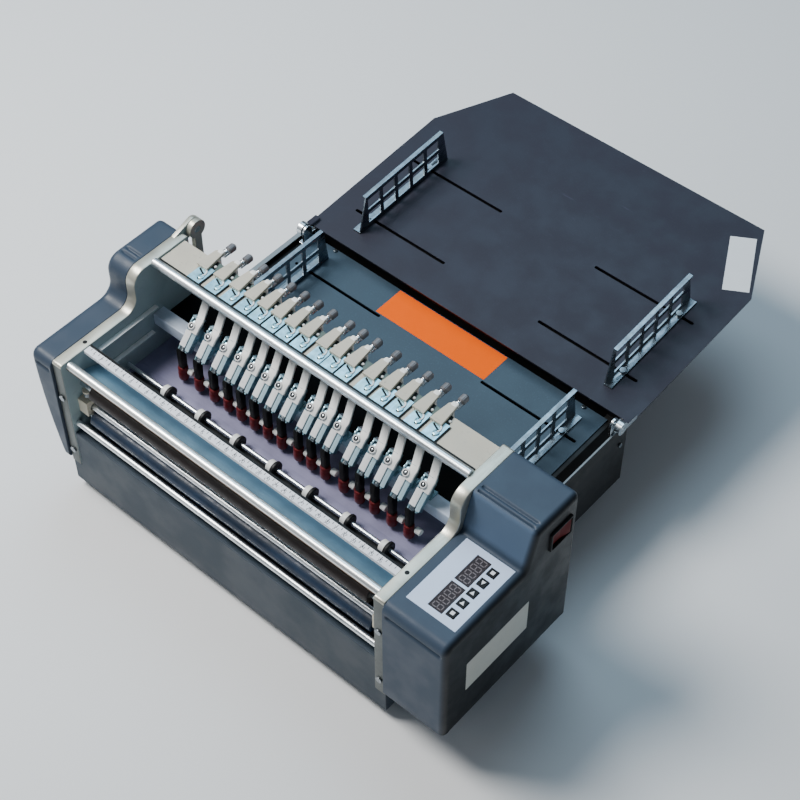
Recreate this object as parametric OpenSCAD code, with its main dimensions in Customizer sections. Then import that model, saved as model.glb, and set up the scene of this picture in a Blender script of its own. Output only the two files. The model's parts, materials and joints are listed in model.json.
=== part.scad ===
// Desk-top label cutting machine: a row of sprung drag knives over a platen, with feed and exit rollers,
// a feed tray behind and a folding extension tray. All sizes are in millimetres.
// While it is drawn: x is 0 midway between the side plates, y is 0 at their front edge, z is 0 on the desk.

/* [Frame] */
// Clear width between the two side plates
inner_w = 380; // [360:1:440]
// Thickness of each side plate
plate_t = 12; // [10:0.5:16]
// Depth of the side plates from front to back
plate_l = 169; // [168:1:185]
// Height of the sheet above the desk
sheet_z = 114; // [108:1:126]
// Rise of the low front part of the plates above the sheet
low_rise = 68; // [64:1:74]
// Where the plates step up
step_y = 97; // [92:1:100]
// Radius at the foot of the step
step_foot_r = 14; // [8:1:15]
// Radius at the head of the step
step_head_r = 16; // [8:1:16]

/* [Base] */
// Height of the rubber feet
foot_h = 10; // [6:1:14]
// Diameter of the rubber feet
foot_d = 24; // [18:1:28]
// Height of the base pan under the side plates
base_h = 29; // [26:1:34]
// Thickness of folded steel sheet
sheet_t = 2; // [1.5:0.5:3]
// Length of the narrow rear leg of the base
rear_leg_l = 131; // [110:1:150]
// Half width of the narrow rear leg of the base
rear_leg_x = 185; // [150:1:186]

/* [End covers] */
// Width of the left cover
left_cover_w = 22; // [20:1:30]
// Width of the right cover
right_cover_w = 69; // [66:1:80]
// Wall of the covers
cover_wall = 3; // [2:0.5:4]
// How far the covers stand out in front of the plates
cover_over = 3; // [2:0.5:5]
// Height of the covers' lower edge above the base pan
cover_lift = 5; // [2:1:12]
// Edge rounding of the covers
cover_r = 6; // [4:0.5:8]
// Radius of the left cover's curved side
left_belly_r = 600; // [560:10:900]

/* [Control panel] */
// Width of the panel
panel_w = 52.5; // [50:0.5:54]
// Length of the panel
panel_l = 78.5; // [76:0.5:80]
// Thickness of the panel
panel_t = 1.2; // [0.8:0.1:1.6]
// Distance from the plate to the panel
panel_in = 9; // [8:0.5:10]
// Distance from the plates' front edge to the panel
panel_y = 17; // [14:0.5:18]
// Side of a square key
key_s = 8.2; // [7:0.1:9]
// Distance between keys
key_pitch = 13; // [12:0.5:13.5]
// Travel of a key
key_travel = 0.5; // [0.3:0.1:0.8]
// Width of a display window
window_w = 15; // [12:0.5:16]
// Length of a display window
window_l = 31; // [28:0.5:32]

/* [Power rocker] */
// Length of the rocker opening
rocker_l = 26; // [22:0.5:28]
// Height of the rocker opening
rocker_h = 20; // [16:0.5:22]
// Tilt of the rocker to each side
rocker_tilt = 7; // [5:0.5:8]

/* [Rollers] */
// Diameter of the feed roller
feed_d = 24; // [20:0.5:26]
// Diameter of the pinch wheels
wheel_d = 15.4; // [12:0.2:17]
// Number of pinch wheels
wheel_count = 7; // [5:1:8]
// Distance between pinch wheels
wheel_pitch = 45.5; // [40:0.5:48]
// Where the pinch shaft lies
pinch_y = 75.5; // [73:0.5:77]
// Diameter of the pinch shaft
pinch_shaft_d = 6; // [5:0.5:8]
// Diameter of the exit roller
exit_d = 19; // [16:0.5:20]
// Diameter of the exit rods
rod_d = 8; // [6:0.5:9]
// Diameter of the press roller
press_d = 18; // [14:0.5:20]
// Diameter of the front tie tube
tie_d = 14; // [12:0.5:16]

/* [Knives] */
// Rise of the knife pivots above the sheet
pivot_rise = 65; // [62:1:74]
// Rise of the beam's top above the knife pivots
deck_rise = 43; // [42:1:50]
// Where the knife pivots lie
pivot_y = 121; // [118:1:124]
// Reach of the blade in front of the pivot
blade_reach = 20; // [18:1:22]
// Width of a knife arm
arm_w = 11; // [10:0.5:12]
// Depth of a knife arm
arm_d = 10; // [8:0.5:11]
// Thickness of the arm's cheeks
cheek_t = 2; // [1.5:0.1:2.2]
// Diameter of the pivot pin
pin_d = 4; // [3:0.5:5]
// Diameter of the round knife rail
rail_d = 9; // [7:0.5:9]
// Side of the square knife bar
bar_s = 14; // [12:0.5:16]
// Depth of the knife beam
deck_l = 32; // [30:0.5:34]
// Diameter of the pressure screws
screw_d = 3; // [2.5:0.1:3.5]
// Turns of each pressure spring
spring_turns = 4; // [3:0.5:4.5]
// Wire of the springs
wire_d = 1; // [0.8:0.1:1.1]

/* [Feed tray] */
// Length of the feed tray
tray_l = 156; // [150:1:170]
// Half width of the feed tray plate
tray_x = 184; // [180:1:188]
// Half width of the tray box
box_x = 202; // [198:1:206]
// Sideways offset of the feed tray and its box from the middle
sheet_x = 10; // [0:0.5:12]

/* [Extension tray] */
// Width of the extension tray
ext_w = 405; // [396:1:410]
// Length of the extension tray
ext_l = 281; // [270:1:320]
// Rise of the extension tray in degrees
ext_tilt = 3.15; // [0:0.05:5]
// Corner cut across the tray
ext_cut_x = 41; // [20:1:60]
// Corner cut along the tray
ext_cut_y = 84; // [40:1:100]
// Thickness of the tray plates
tray_t = 1.5; // [1.2:0.1:2]

/* [Side guides] */
// Length of a side guide
guide_l = 138; // [120:1:140]
// Height of a side guide
guide_h = 42; // [34:1:44]
// Width of a guide's foot
guide_foot = 9; // [8:0.5:12]
// Half the distance between the feed tray's guides
guide_half = 156; // [146:0.5:158]
// Half the distance between the extension tray's guides
ext_guide_half = 153.5; // [146:0.5:158]
// Width of the folded edge along a guide's top
guide_flange = 4.5; // [0:0.5:6]
// Number of windows along a guide
guide_cols = 5; // [3:1:6]

/* [Hidden] */
$fn = 48;
gap = 0.3;
fit_gap = 0.05;
thin = 0.01;

// Where the knives are set along the bar, from the left
knife_x = [-140, -118.5, -98.5, -80, -63, -46, -29, -11.5, 9.5, 25.5, 42.5, 65, 84, 102, 122.5, 142.5];

// Frame
half_in = inner_w / 2;
half_out = half_in + plate_t;
low_z = sheet_z + low_rise;
pivot_z = sheet_z + pivot_rise;
deck_z = pivot_z + deck_rise;
deck_margin = 2;
high_z = deck_z + deck_margin;
base_top = foot_h + base_h;
dot_d = 4;
dot_y = 36;
dot_depth = 8;

// Covers
cover_front = -cover_over;
cover_rear = plate_l + 1;
cover_z = base_top + cover_lift;
left_out = half_out + left_cover_w;
right_out = half_out + right_cover_w;
groove_w = 2;
groove_deep = 1.2;
groove_back = 7;
groove_step = 6;
seam_z = low_z - 14;
seam_w = 2;
seam_deep = 1.5;
belly_drop = 14;
belly_rise = 20;
right_foot_r = 4;
right_step_y = panel_y + panel_l + right_foot_r + 0.5;

// Control panel
panel_x = half_out + panel_in;
panel_sink = 0.8;
panel_z = low_z - panel_sink;
key_in = 39.4;
key_start = 12.6;
key_x = panel_x + key_in;
key_y = panel_y + key_start;
key_gap = gap;
key_flange = 1.2;
key_flange_t = 1;
key_proud = 0.7;
window_in = 18;
window_start = 6.3;
window_x = panel_x + window_in;
window_y = panel_y + window_start;
window_step = 34;

// Power rocker
rocker_back = 24;
rocker_drop = 31;
rocker_y = plate_l - rocker_back;
rocker_z = high_z - rocker_drop;
rocker_gap = 0.5;
bezel_w = 2;
bezel_proud = 2.5;
rocker_pivot_in = 1;

// Rollers and rods
feed_z = sheet_z - feed_d / 2;
pinch_z = sheet_z + gap + wheel_d / 2;
shaft_d = 10;
exit_shaft_d = 8;
press_shaft_d = 6;
exit_rise = 0.4;
exit_y = 19.5;
exit_z = sheet_z + exit_rise;
exit_rod_z = exit_z + gap / 2 + rod_d / 2;
exit_roller_z = exit_z - gap / 2 - exit_d / 2;
low_rod_y = 6.8;
low_rod_z = exit_z - 16.8;
press_y = 20;
press_rise = 30;
press_z = sheet_z + press_rise;
tie_y = 10;
tie_z = low_z - 4;
roller_end = 6;
press_end = 18;
collar_d = 10;
collar_w = 4;
wheel_w = 6;
wheel_shift = 3;
shaft_past = 3;
pulley_d = 22;
pulley_w = 9;
pulley_in = 2;
motor_s = 42;
motor_l = 44;
motor_off = 14;
post_d = 6;
post_inset = 5;

// Bearing blocks of the upper exit rod
block_w = 12;
block_room = 2;
block_l = 16;
block_under = 10;
block_over = 6;
block_pin_d = 3;
block_spring_h = 8;
block_spring_d = 7.4;
block_turns = 4;
washer_t = 1.6;
washer_d = 9;

// Sheet path
platen_t = 4;
platen_front = 33;
platen_rear = plate_l - 4;
roller_room = 1.5;
ruler_y = 28.5;
ruler_l = 10;
ruler_t = 4;
ruler_drop = 1;
strip_y = 16;
strip_l = 14;
strip_z = low_z - 22;
strip_t = 1.5;
strip_drop = 5;

// Knife unit
deck_y = 132;
deck_t = 4;
deck_lip_h = 11;
deck_lip_t = 3;
deck_rib_h = 12;
deck_rear = deck_y + deck_l;
rail_gap = 3;
rail_y = deck_y - rail_gap - rail_d / 2;
rail_z = deck_z + 1;
bar_drop = 25;
bar_y = pivot_y;
bar_z = pivot_z - bar_drop;
bar_top = bar_z + bar_s / 2;
guard_l = 38;
guard_t = 1.5;
saddle_t = 2;
saddle_in = 3;
tongue_w = arm_w - 2 * cheek_t - 1.2;
tongue_r = 4.4;
head_d = 6.6;
head_t = 1;
arm_front = 32;
arm_rear = 3;
arm_angle = 48;
strap_angle = 25;
strap_w = 8.4;
strap_t = 3;
strap_shift = (arm_w - strap_w) / 2;
strap_room = 0.5;
strap_nose = 7;
holder_w = 8;
holder_l = 9;
cap_d = 10;
cap_h = 13;
tip_h = 2.1;
tip_d = 2;
tip_end_d = 0.4;
tip_gap = 0.4;
nut_d = 7;
nut_l = 6.5;
nut_rise = 5.5;
hook_w = 15;
hook_shift = -6.5;
hook_t = 1.5;
hook_l = 21;
hook_drop = 12;
hook_slot_d = 4.4;
hook_slot_l = 9;
hook_slot_in = 3;
hook_slot_x = 3;
clamp_d = 6.4;
clamp_h = 2.4;
tab_y = 147.5;
tab_l = 28;
tab_w = 13.6;
tab_end_w = 7;
tab_t = 3;
tab_shift = -10.7;
tab_cut = 5;
screw_shift = -12.5;
screw_drop = 4.5;
screw_z = deck_z - screw_drop;
press_nut_d = 6.4;
press_nut_h = 2.5;
knob_d = 10;
knob_l = 9;
knob_y = deck_rear + 19;
spring_d = 7.2;
fork_w = 4.4;
fork_t = 2.5;
fork_y = deck_rear + 4;
fork_low = 0.6;
fork_top = deck_z + hook_t - 0.5;
fork_swing = 4.7;
spring_y = fork_y + fork_t + fork_swing + wire_d / 2;
spring_l = knob_y - gap - wire_d / 2 - spring_y;

// Release lever behind the left plate
lever_y = plate_l + 13;
lever_z = high_z - 2;
lever_r = 10;
lever_t = 6;
lever_l = 62;
lever_pin_d = 7;
lever_grip_d = 14;
lug_t = 5;

// Trays
feed_top = sheet_z;
tray_front = plate_l + 1;
tray_rear = tray_front + tray_l;
box_rear = tray_rear + 8;
box_z = foot_h + 23;
box_top = feed_top + 5;
ledge_w = 22;
slot_w = 3.6;
slot_in = 66;
slot_out = 176;
box_rim = 6;
slot_front = 35;
slot_step = 80;

// Extension tray and its hinge
ext_y = tray_rear;
ext_z = feed_top + 14;
ext_slot_in = 61;
ext_slot_front = 44;
ext_slot_step = 91;
hinge_y = ext_y - 12;
hinge_z = ext_z + 3;
hinge_r = 7;
hinge_pin_d = 5;
ear_t = 6;
ear_gap = 1;
bracket_t = 3;
bracket_foot_w = 12;
stop_l = 18;
ext_right = sheet_x + box_x + ear_t + ear_gap;
ext_x = ext_right - ext_w;
ext_mid = ext_right - ext_w / 2;
ext_guide_mid = ext_mid + 2;

// Guides
guide_t = 1.5;
guide_lean = 12;
guide_rim = 5;
guide_back = 3.2;
guide_screw_d = 3;
guide_head_d = 6.4;
guide_head_h = 2.6;
guide_nut_d = 7;
guide_nut_h = 2.5;
ext_guide_in = 21;

// Screws that show
plate_screw_d = 7;
tray_screw_d = 4;
tray_screw_x = 158;
wall_screw_d = 5;
wall_screw_y = 9;
wall_screw_drop = 37;
plate_screw_h = 2;

// The whole machine is moved so that the middle of its footprint is the origin
reach_right = right_out + bezel_proud;
reach_rear = ext_y + ext_l * cos(ext_tilt) + tray_t * sin(ext_tilt);
mid_x = (reach_right - left_out) / 2;
mid_y = (reach_rear + cover_front) / 2;

// Moves a piece from the drawing frame to the machine's own frame
module place() {
    translate([-mid_x, -mid_y, 0])
        children();
}

// Extrudes an outline drawn in (y, z) along x, from x0 over a width
module along_x(x0, width) {
    translate([x0, 0, 0])
        rotate([90, 0, 90])
            linear_extrude(width)
                children();
}

// Round bar or bore along x
module x_bar(x0, x1, y, z, d) {
    translate([x0, y, z])
        rotate([0, 90, 0])
            cylinder(d = d, h = x1 - x0);
}

// Slot along x with round ends, cut through a plate lying flat
module x_slot(x0, x1, y, w, z0, h) {
    translate([0, 0, z0])
        linear_extrude(h) {
            translate([x0, y - w / 2])
                square([x1 - x0, w]);
            for (x = [x0, x1])
                translate([x, y])
                    circle(d = w);
        }
}

// Plate outline in (y, z): low in front, high behind, with a concave foot and a rounded head
module step_profile(front, rear, bottom, low, high, step, foot_r, head_r, corner_r) {
    difference() {
        union() {
            translate([front, bottom])
                square([rear - front, low - bottom]);
            translate([step, bottom])
                square([rear - step, high - bottom]);
            difference() {
                translate([step - foot_r, low - thin])
                    square([foot_r, foot_r + thin]);
                translate([step - foot_r, low + foot_r])
                    circle(r = foot_r);
            }
        }
        corner_cut(step, high, head_r, 1);
        corner_cut(front, low, corner_r, 1);
        corner_cut(rear, high, corner_r, -1);
    }
}

// What a rounded top corner loses; side is 1 for a corner on the left and -1 on the right
module corner_cut(y, z, r, side) {
    translate([y, z])
        mirror([side < 0 ? 1 : 0, 0])
            difference() {
                translate([-1, -r])
                    square([r + 1, r + 1]);
                translate([r, -r])
                    circle(r = r);
            }
}

// Unbroken coil of round wire: rings of six points that follow a helix about z
function coil_mid(i, rings, turns, r, h) =
    [r * cos(360 * turns * i / rings), r * sin(360 * turns * i / rings), h * i / rings];
function coil_gap(mids, apart, wire) =
    min([for (i = [0 : len(mids) - 1 - apart], j = [i + apart : len(mids) - 1])
        norm(mids[i] - mids[j])]) - wire;

module coil(turns, r, h, wire) {
    sides = 6;
    rings = round(8 * turns);
    lead = atan(h / (2 * PI * r * turns));
    mids = [for (i = [0 : rings]) coil_mid(i, rings, turns, r, h)];
    points = [for (i = [0 : rings], j = [0 : sides - 1])
        let (a = 360 * turns * i / rings, b = 360 * j / sides)
        mids[i] + wire / 2 * (cos(b) * [cos(a), sin(a), 0]
            + sin(b) * [sin(a) * sin(lead), -cos(a) * sin(lead), cos(lead)])];
    walls = [for (i = [0 : rings - 1], j = [0 : sides - 1], half = [0, 1])
        let (p = i * sides + j, q = i * sides + (j + 1) % sides)
        half == 0 ? [p, q, q + sides] : [p, q + sides, p + sides]];
    last = rings * sides;
    caps = [for (j = [1 : sides - 2], end = [0, 1])
        end == 0 ? [0, j + 1, j] : [last, last + j, last + j + 1]];
    echo(coil_least_gap = coil_gap(mids, 5, wire));
    polyhedron(points = points, faces = concat(walls, caps));
}

// Base pan: folded sheet with a floor, a front panel with a lip, side flanges and a narrow rear leg
module base_pan() {
    front = 1;
    panel_top = low_rod_z - rod_d / 2 - 6.6;
    lip = 10;
    leg_rear = plate_l + rear_leg_l;
    color("dimgray") place() {
        difference() {
            union() {
                translate([-half_out, front, foot_h])
                    cube([2 * half_out, plate_l - front, base_h]);
                translate([-rear_leg_x, plate_l - thin, foot_h])
                    cube([2 * rear_leg_x, rear_leg_l + thin, box_z - foot_h]);
            }
            translate([-half_out + sheet_t, front + sheet_t, foot_h + sheet_t])
                cube([2 * (half_out - sheet_t), plate_l - front - 2 * sheet_t, base_h - 2 * sheet_t]);
            translate([-half_in, front + sheet_t, foot_h + sheet_t])
                cube([inner_w, plate_l - front - 2 * sheet_t, base_h]);
            translate([-rear_leg_x + sheet_t, plate_l, foot_h + sheet_t])
                cube([2 * (rear_leg_x - sheet_t), rear_leg_l - sheet_t, base_h]);
        }
        translate([-half_in, front, base_top - thin])
            cube([inner_w, sheet_t, panel_top - base_top + thin]);
        translate([-half_in, front, panel_top - sheet_t])
            cube([inner_w, lip, sheet_t]);
    }
}

// Bores and blind holes that both side plates share
module plate_holes() {
    x_bar(-half_out - 1, half_out + 1, pinch_y, feed_z, shaft_d + 2 * fit_gap);
    x_bar(-half_out - 1, half_out + 1, pinch_y, pinch_z, pinch_shaft_d + 2 * fit_gap);
    x_bar(-half_out - 1, half_out + 1, exit_y, exit_roller_z, exit_shaft_d + 2 * fit_gap);
    x_bar(-half_out - 1, half_out + 1, press_y, press_z, press_shaft_d + 2 * fit_gap);
    for (x = [-1, 1])
        translate([x * (half_in + plate_t / 2), dot_y, low_z - dot_depth])
            cylinder(d = dot_d, h = dot_depth + 1);
}

module plate_body(x0) {
    corner = 3;
    difference() {
        along_x(x0, plate_t)
            step_profile(0, plate_l, base_top, low_z, high_z, step_y, step_foot_r, step_head_r, corner);
        plate_holes();
    }
}

// Left side plate, with a half-thickness lug and pin for the release lever
module left_side_plate() {
    lug_back = 24;
    color("gainsboro") place() {
        plate_body(-half_out);
        along_x(-half_out, lug_t) {
            translate([lever_y, lever_z])
                circle(r = lever_r);
            translate([lever_y - lug_back, lever_z - lever_r])
                square([lug_back, lever_r + high_z - lever_z]);
        }
        x_bar(-half_out, -half_out + lug_t + gap + lever_t, lever_y, lever_z, lever_pin_d);
    }
}

module right_side_plate() {
    color("gainsboro") place()
        plate_body(half_in);
}

// Cover body: stepped outline along x, rounded over the top outer edge and the upright outer edges
module cover_body(inner, outer, inset, step, foot) {
    w = outer - inner;
    r = max(cover_r - inset, 1);
    split = step - foot;
    front = cover_front + inset;
    rear = cover_rear - inset;
    intersection() {
        along_x(inner, w - inset)
            step_profile(front, rear, cover_z + inset, low_z - inset, high_z - inset,
                step + inset, foot + inset, step_head_r - inset, r);
        linear_extrude(high_z + 1)
            plan_round(inner, outer - inset, front, rear, r);
        union() {
            end_view(inner, outer - inset, front, split, low_z - inset, r);
            end_view(inner, outer - inset, split - thin, rear, high_z - inset, r);
        }
    }
}

// Plan outline with its two outer corners rounded
module plan_round(x0, x1, y0, y1, r) {
    translate([x0, y0])
        square([x1 - x0 - r, y1 - y0]);
    translate([x0, y0 + r])
        square([x1 - x0, y1 - y0 - 2 * r]);
    for (y = [y0 + r, y1 - r])
        translate([x1 - r, y])
            circle(r = r);
}

// End outline with its top outer corner rounded, drawn in (x, z) and extruded along y
module end_view(x0, x1, y0, y1, top, r) {
    translate([0, y1, 0])
        rotate([90, 0, 0])
            linear_extrude(y1 - y0)
                difference() {
                    translate([x0, 0])
                        square([x1 - x0, top]);
                    corner_cut(x1, top, r, -1);
                }
}

// Curved belly that draws the left cover in towards its lower edge
module belly(inset) {
    swell = sqrt(left_belly_r * left_belly_r - belly_rise * belly_rise);
    translate([0, plate_l + 10, 0])
        rotate([90, 0, 0])
            linear_extrude(plate_l + 20) {
                translate([half_out - 1, low_z - belly_drop])
                    square([left_cover_w + 2, high_z]);
                translate([left_out - swell - inset, low_z - belly_drop + belly_rise])
                    circle(r = left_belly_r, $fn = 180);
            }
}

// Two grooves across the top of a cover, just behind its step
module top_grooves(x0, x1) {
    for (k = [0, 1])
        translate([x0, step_y + step_head_r + groove_back - groove_step * k, high_z - groove_deep])
            cube([x1 - x0, groove_w, groove_deep + 1]);
}

module left_end_cover() {
    color("slategray") place()
        difference() {
            mirror([1, 0, 0])
                intersection() {
                    cover_body(half_out, left_out, 0, step_y, step_foot_r);
                    belly(0);
                }
            mirror([1, 0, 0])
                intersection() {
                    translate([-1, 0, 0])
                        cover_body(half_out, left_out + 1, cover_wall, step_y, step_foot_r);
                    belly(cover_wall);
                }
            top_grooves(-left_out - 1, -half_out - cover_wall);
        }
}

// Right end cover: the housing of the drive, with the panel's recess, key holes and the rocker's frame
module right_end_cover() {
    color("slategray") place()
        difference() {
            union() {
                cover_body(half_out, right_out, 0, right_step_y, right_foot_r);
                translate([right_out - cover_wall, rocker_y - rocker_l / 2 - bezel_w,
                    rocker_z - rocker_h / 2 - bezel_w])
                    cube([cover_wall + bezel_proud, rocker_l + 2 * bezel_w, rocker_h + 2 * bezel_w]);
            }
            translate([-1, 0, 0])
                cover_body(half_out, right_out + 1, cover_wall, right_step_y, right_foot_r);
            top_grooves(half_out + cover_wall, right_out + 1);
            translate([half_out + cover_wall, cover_front - 1, seam_z])
                cube([right_cover_w, seam_deep + 1, seam_w]);
            translate([panel_x - gap, panel_y - gap, panel_z])
                cube([panel_w + 2 * gap, panel_l + 2 * gap, panel_sink + 1]);
            for (k = [1 : 5])
                key_hole(k);
            translate([right_out - cover_wall - 1, rocker_y - rocker_l / 2, rocker_z - rocker_h / 2])
                cube([cover_wall + bezel_proud + 2, rocker_l, rocker_h]);
        }
}

// Square hole round one key, through the panel and the cover
module key_hole(k) {
    hole = key_s + 2 * key_gap;
    translate([key_x - hole / 2, key_y + key_pitch * (k - 1) - hole / 2, low_z - cover_wall - 1])
        cube([hole, hole, cover_wall + panel_t + 2]);
}

module window_cut(k, play, h) {
    translate([window_x - play, window_y + window_step * k - play, panel_z])
        cube([window_w + 2 * play, window_l + 2 * play, h]);
}

module control_panel() {
    color("lavender") place()
        difference() {
            translate([panel_x, panel_y, panel_z])
                cube([panel_w, panel_l, panel_t]);
            for (k = [1 : 5])
                key_hole(k);
            for (k = [0, 1])
                translate([0, 0, -1])
                    window_cut(k, 0, panel_t + 2);
        }
}

module display_windows() {
    color("dimgray") place()
        for (k = [0, 1])
            window_cut(k, 0, panel_t);
}

// One key: a square cap with a flange that stays under the cover
module key_cap(k) {
    flange = key_s + 2 * key_flange;
    top = panel_z + panel_t + key_proud;
    flange_top = low_z - cover_wall - gap;
    color("black") place()
        translate([key_x, key_y + key_pitch * (k - 1), 0]) {
            translate([-key_s / 2, -key_s / 2, flange_top - key_flange_t])
                cube([key_s, key_s, top - flange_top + key_flange_t]);
            translate([-flange / 2, -flange / 2, flange_top - key_flange_t])
                cube([flange, flange, key_flange_t]);
        }
}

// Power rocker: a shallow vee that tilts about an upright axis in its frame
module power_rocker() {
    half = rocker_l / 2 - rocker_gap - 0.4;
    proud = 2;
    vee = 1.2;
    deep = 5;
    color("darkred") place()
        translate([right_out - rocker_pivot_in, rocker_y, rocker_z - rocker_h / 2 + rocker_gap])
            rotate([0, 0, -rocker_tilt])
                linear_extrude(rocker_h - 2 * rocker_gap)
                    polygon([[-deep, -half], [proud, -half], [proud - vee, 0], [proud, half],
                        [-deep, half]]);
}

// Ivory beam that carries the hook plates: top plate, front lip and rear rib
module knife_beam() {
    color("ivory") place()
        along_x(-half_in, inner_w) {
            translate([deck_y, deck_z - deck_t])
                square([deck_l, deck_t]);
            translate([deck_y, deck_z - deck_lip_h])
                square([deck_lip_t, deck_lip_h]);
            translate([deck_y + deck_l - deck_lip_t, deck_z - deck_rib_h])
                square([deck_lip_t, deck_rib_h]);
        }
}

module knife_rail() {
    color("silver") place()
        x_bar(-half_in, half_in, rail_y, rail_z, rail_d);
}

// Square bar that carries the pivot blocks, with a level guard plate behind it
module knife_bar() {
    color("lightsteelblue") place() {
        translate([-half_in, bar_y - bar_s / 2, bar_z - bar_s / 2])
            cube([inner_w, bar_s, bar_s]);
        translate([-half_in, bar_y + bar_s / 2 - thin, bar_z - bar_s / 2 + 1])
            cube([inner_w, guard_l, guard_t]);
    }
}

module tie_tube() {
    bore = 9;
    color("silver") place()
        difference() {
            x_bar(-half_in, half_in, tie_y, tie_z, tie_d);
            x_bar(-half_in - 1, half_in + 1, tie_y, tie_z, bore);
        }
}

// Bent steel strip that guides the sheet out under the ruler
module guide_strip() {
    color("steelblue") place()
        along_x(-half_in, inner_w)
            polygon([[strip_y, strip_z + strip_t], [strip_y, strip_z],
                [strip_y + strip_l, strip_z - strip_drop],
                [strip_y + strip_l, strip_z - strip_drop + strip_t]]);
}

module ruler_bar() {
    color("whitesmoke") place()
        translate([-half_in, ruler_y, low_z - ruler_drop - ruler_t])
            cube([inner_w, ruler_l, ruler_t]);
}

// Platen: flat plate under the knives with a long window for the feed roller
module platen() {
    room = feed_d / 2 + roller_room;
    color("gray") place()
        difference() {
            translate([-half_in, platen_front, sheet_z - platen_t])
                cube([inner_w, platen_rear - platen_front, platen_t]);
            translate([-half_in + 4, pinch_y - room, sheet_z - platen_t - 1])
                cube([inner_w - 8, 2 * room, platen_t + 2]);
        }
}

// Zinc angle over the beam's front edge, with a slot for its clamp screw
module hook_plate() {
    difference() {
        translate([hook_shift - hook_w / 2, deck_y - hook_t, deck_z - hook_drop])
            cube([hook_w, hook_t + hook_l, hook_drop + hook_t]);
        translate([hook_shift - hook_w / 2 - 1, deck_y, deck_z - hook_drop - 1])
            cube([hook_w + 2, hook_l + 1, hook_drop + 1]);
        translate([hook_shift + hook_slot_x, deck_y + hook_slot_in, deck_z - 1])
            linear_extrude(hook_t + 2) {
                for (y = [hook_slot_d / 2, hook_slot_l - hook_slot_d / 2])
                    translate([0, y])
                        circle(d = hook_slot_d);
                translate([-hook_slot_d / 2, hook_slot_d / 2])
                    square([hook_slot_d, hook_slot_l - hook_slot_d]);
            }
    }
}

module hook_plates() {
    color("lightsteelblue") place()
        for (x = knife_x)
            translate([x, 0, 0])
                hook_plate();
}

// Ivory tab behind each hook plate, tapered to its rear end with one corner cut
module pressure_tab() {
    rear = tab_y + tab_l;
    translate([tab_shift, 0, deck_z + hook_t])
        linear_extrude(tab_t)
            polygon([[-tab_w / 2, tab_y], [tab_w / 2, tab_y], [tab_end_w / 2, rear],
                [-tab_end_w / 2 + tab_cut / 2, rear], [-tab_end_w / 2 - tab_cut / 4, rear - tab_cut]]);
}

module pressure_tabs() {
    color("ivory") place()
        for (x = knife_x)
            translate([x, 0, 0])
                pressure_tab();
}

// Pressure screw along y, with its nut on the beam's rear rib and its knob behind, and the clamp screw
module pressure_screw() {
    translate([screw_shift, 0, screw_z])
        rotate([-90, 0, 0]) {
            translate([0, 0, deck_rear])
                cylinder(d = screw_d, h = knob_y - deck_rear + 1);
            translate([0, 0, deck_rear])
                cylinder(d = press_nut_d, h = press_nut_h, $fn = 6);
            translate([0, 0, knob_y])
                cylinder(d = knob_d, h = knob_l);
        }
    translate([hook_shift + hook_slot_x, deck_y + hook_slot_in + hook_slot_l / 2, deck_z + hook_t])
        cylinder(d = clamp_d, h = clamp_h);
}

module pressure_screws() {
    color("darkgray") place()
        for (x = knife_x)
            translate([x, 0, 0])
                pressure_screw();
}

// All coil springs: one on each pressure screw and one on each bearing block
module coil_springs() {
    r = (spring_d - wire_d) / 2;
    block_r = (block_spring_d - wire_d) / 2;
    block_top = exit_rod_z + rod_d / 2 + block_over;
    lift = wire_d / 2 + gap;
    color("silver") place() {
        for (x = knife_x)
            translate([x + screw_shift, spring_y, screw_z])
                rotate([-90, 0, 0])
                    coil(spring_turns, r, spring_l, wire_d);
        for (side = [-1, 1])
            translate([side * (half_in - block_w / 2), exit_y, block_top + lift])
                coil(block_turns, block_r, block_spring_h - 2 * lift, wire_d);
    }
}

// Saddle on the square bar with a tongue and the pivot pin of one knife arm
module pivot_block() {
    along_x(-tongue_w / 2, tongue_w) {
        translate([pivot_y, pivot_z])
            circle(r = tongue_r);
        translate([pivot_y - tongue_r, bar_top])
            square([2 * tongue_r, pivot_z - bar_top]);
    }
    translate([-arm_w / 2, bar_y - bar_s / 2 + saddle_in, bar_top])
        cube([arm_w, bar_s - saddle_in, saddle_t]);
    x_bar(-arm_w / 2 - gap - head_t, arm_w / 2 + gap + head_t, pivot_y, pivot_z, pin_d);
    for (side = [-1, 1])
        translate([side * (arm_w / 2 + gap + head_t / 2), pivot_y, pivot_z])
            rotate([0, 90, 0])
                cylinder(d = head_d, h = head_t, center = true);
}

module pivot_blocks() {
    color("lightsteelblue") place()
        for (x = knife_x)
            translate([x, 0, 0])
                pivot_block();
}

// Outline of an arm's cheeks: a bar with round ends, sloped down towards the blade
module cheek_outline() {
    translate([pivot_y, pivot_z])
        rotate(arm_angle) {
            translate([-arm_front, -arm_d / 2])
                square([arm_front + arm_rear, arm_d]);
            translate([arm_rear, 0])
                circle(d = arm_d);
        }
}

// Point of an arm in (y, z): s along a line at an angle through the pivot, t across it
function at_pivot(angle, s, t) =
    [pivot_y + s * cos(angle) - t * sin(angle), pivot_z + s * sin(angle) + t * cos(angle)];

// Height of a line of the strap at a place y, t above the pivot and square to the strap's slope
function strap_z(y, t) = pivot_z + (y - pivot_y) * tan(strap_angle) + t / cos(strap_angle);

// Side view of the strap: it lies on the cheeks over the pivot and rises straight to the fork
module strap_side() {
    under = tongue_r + strap_room;
    over = under + strap_t;
    rear = fork_y + fork_t;
    polygon([at_pivot(arm_angle, -strap_nose, under), at_pivot(arm_angle, 0, under),
        at_pivot(strap_angle, 0, under), [rear, strap_z(rear, under)], [rear, strap_z(rear, over)],
        at_pivot(strap_angle, 1 - strap_nose, over)]);
}

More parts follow.
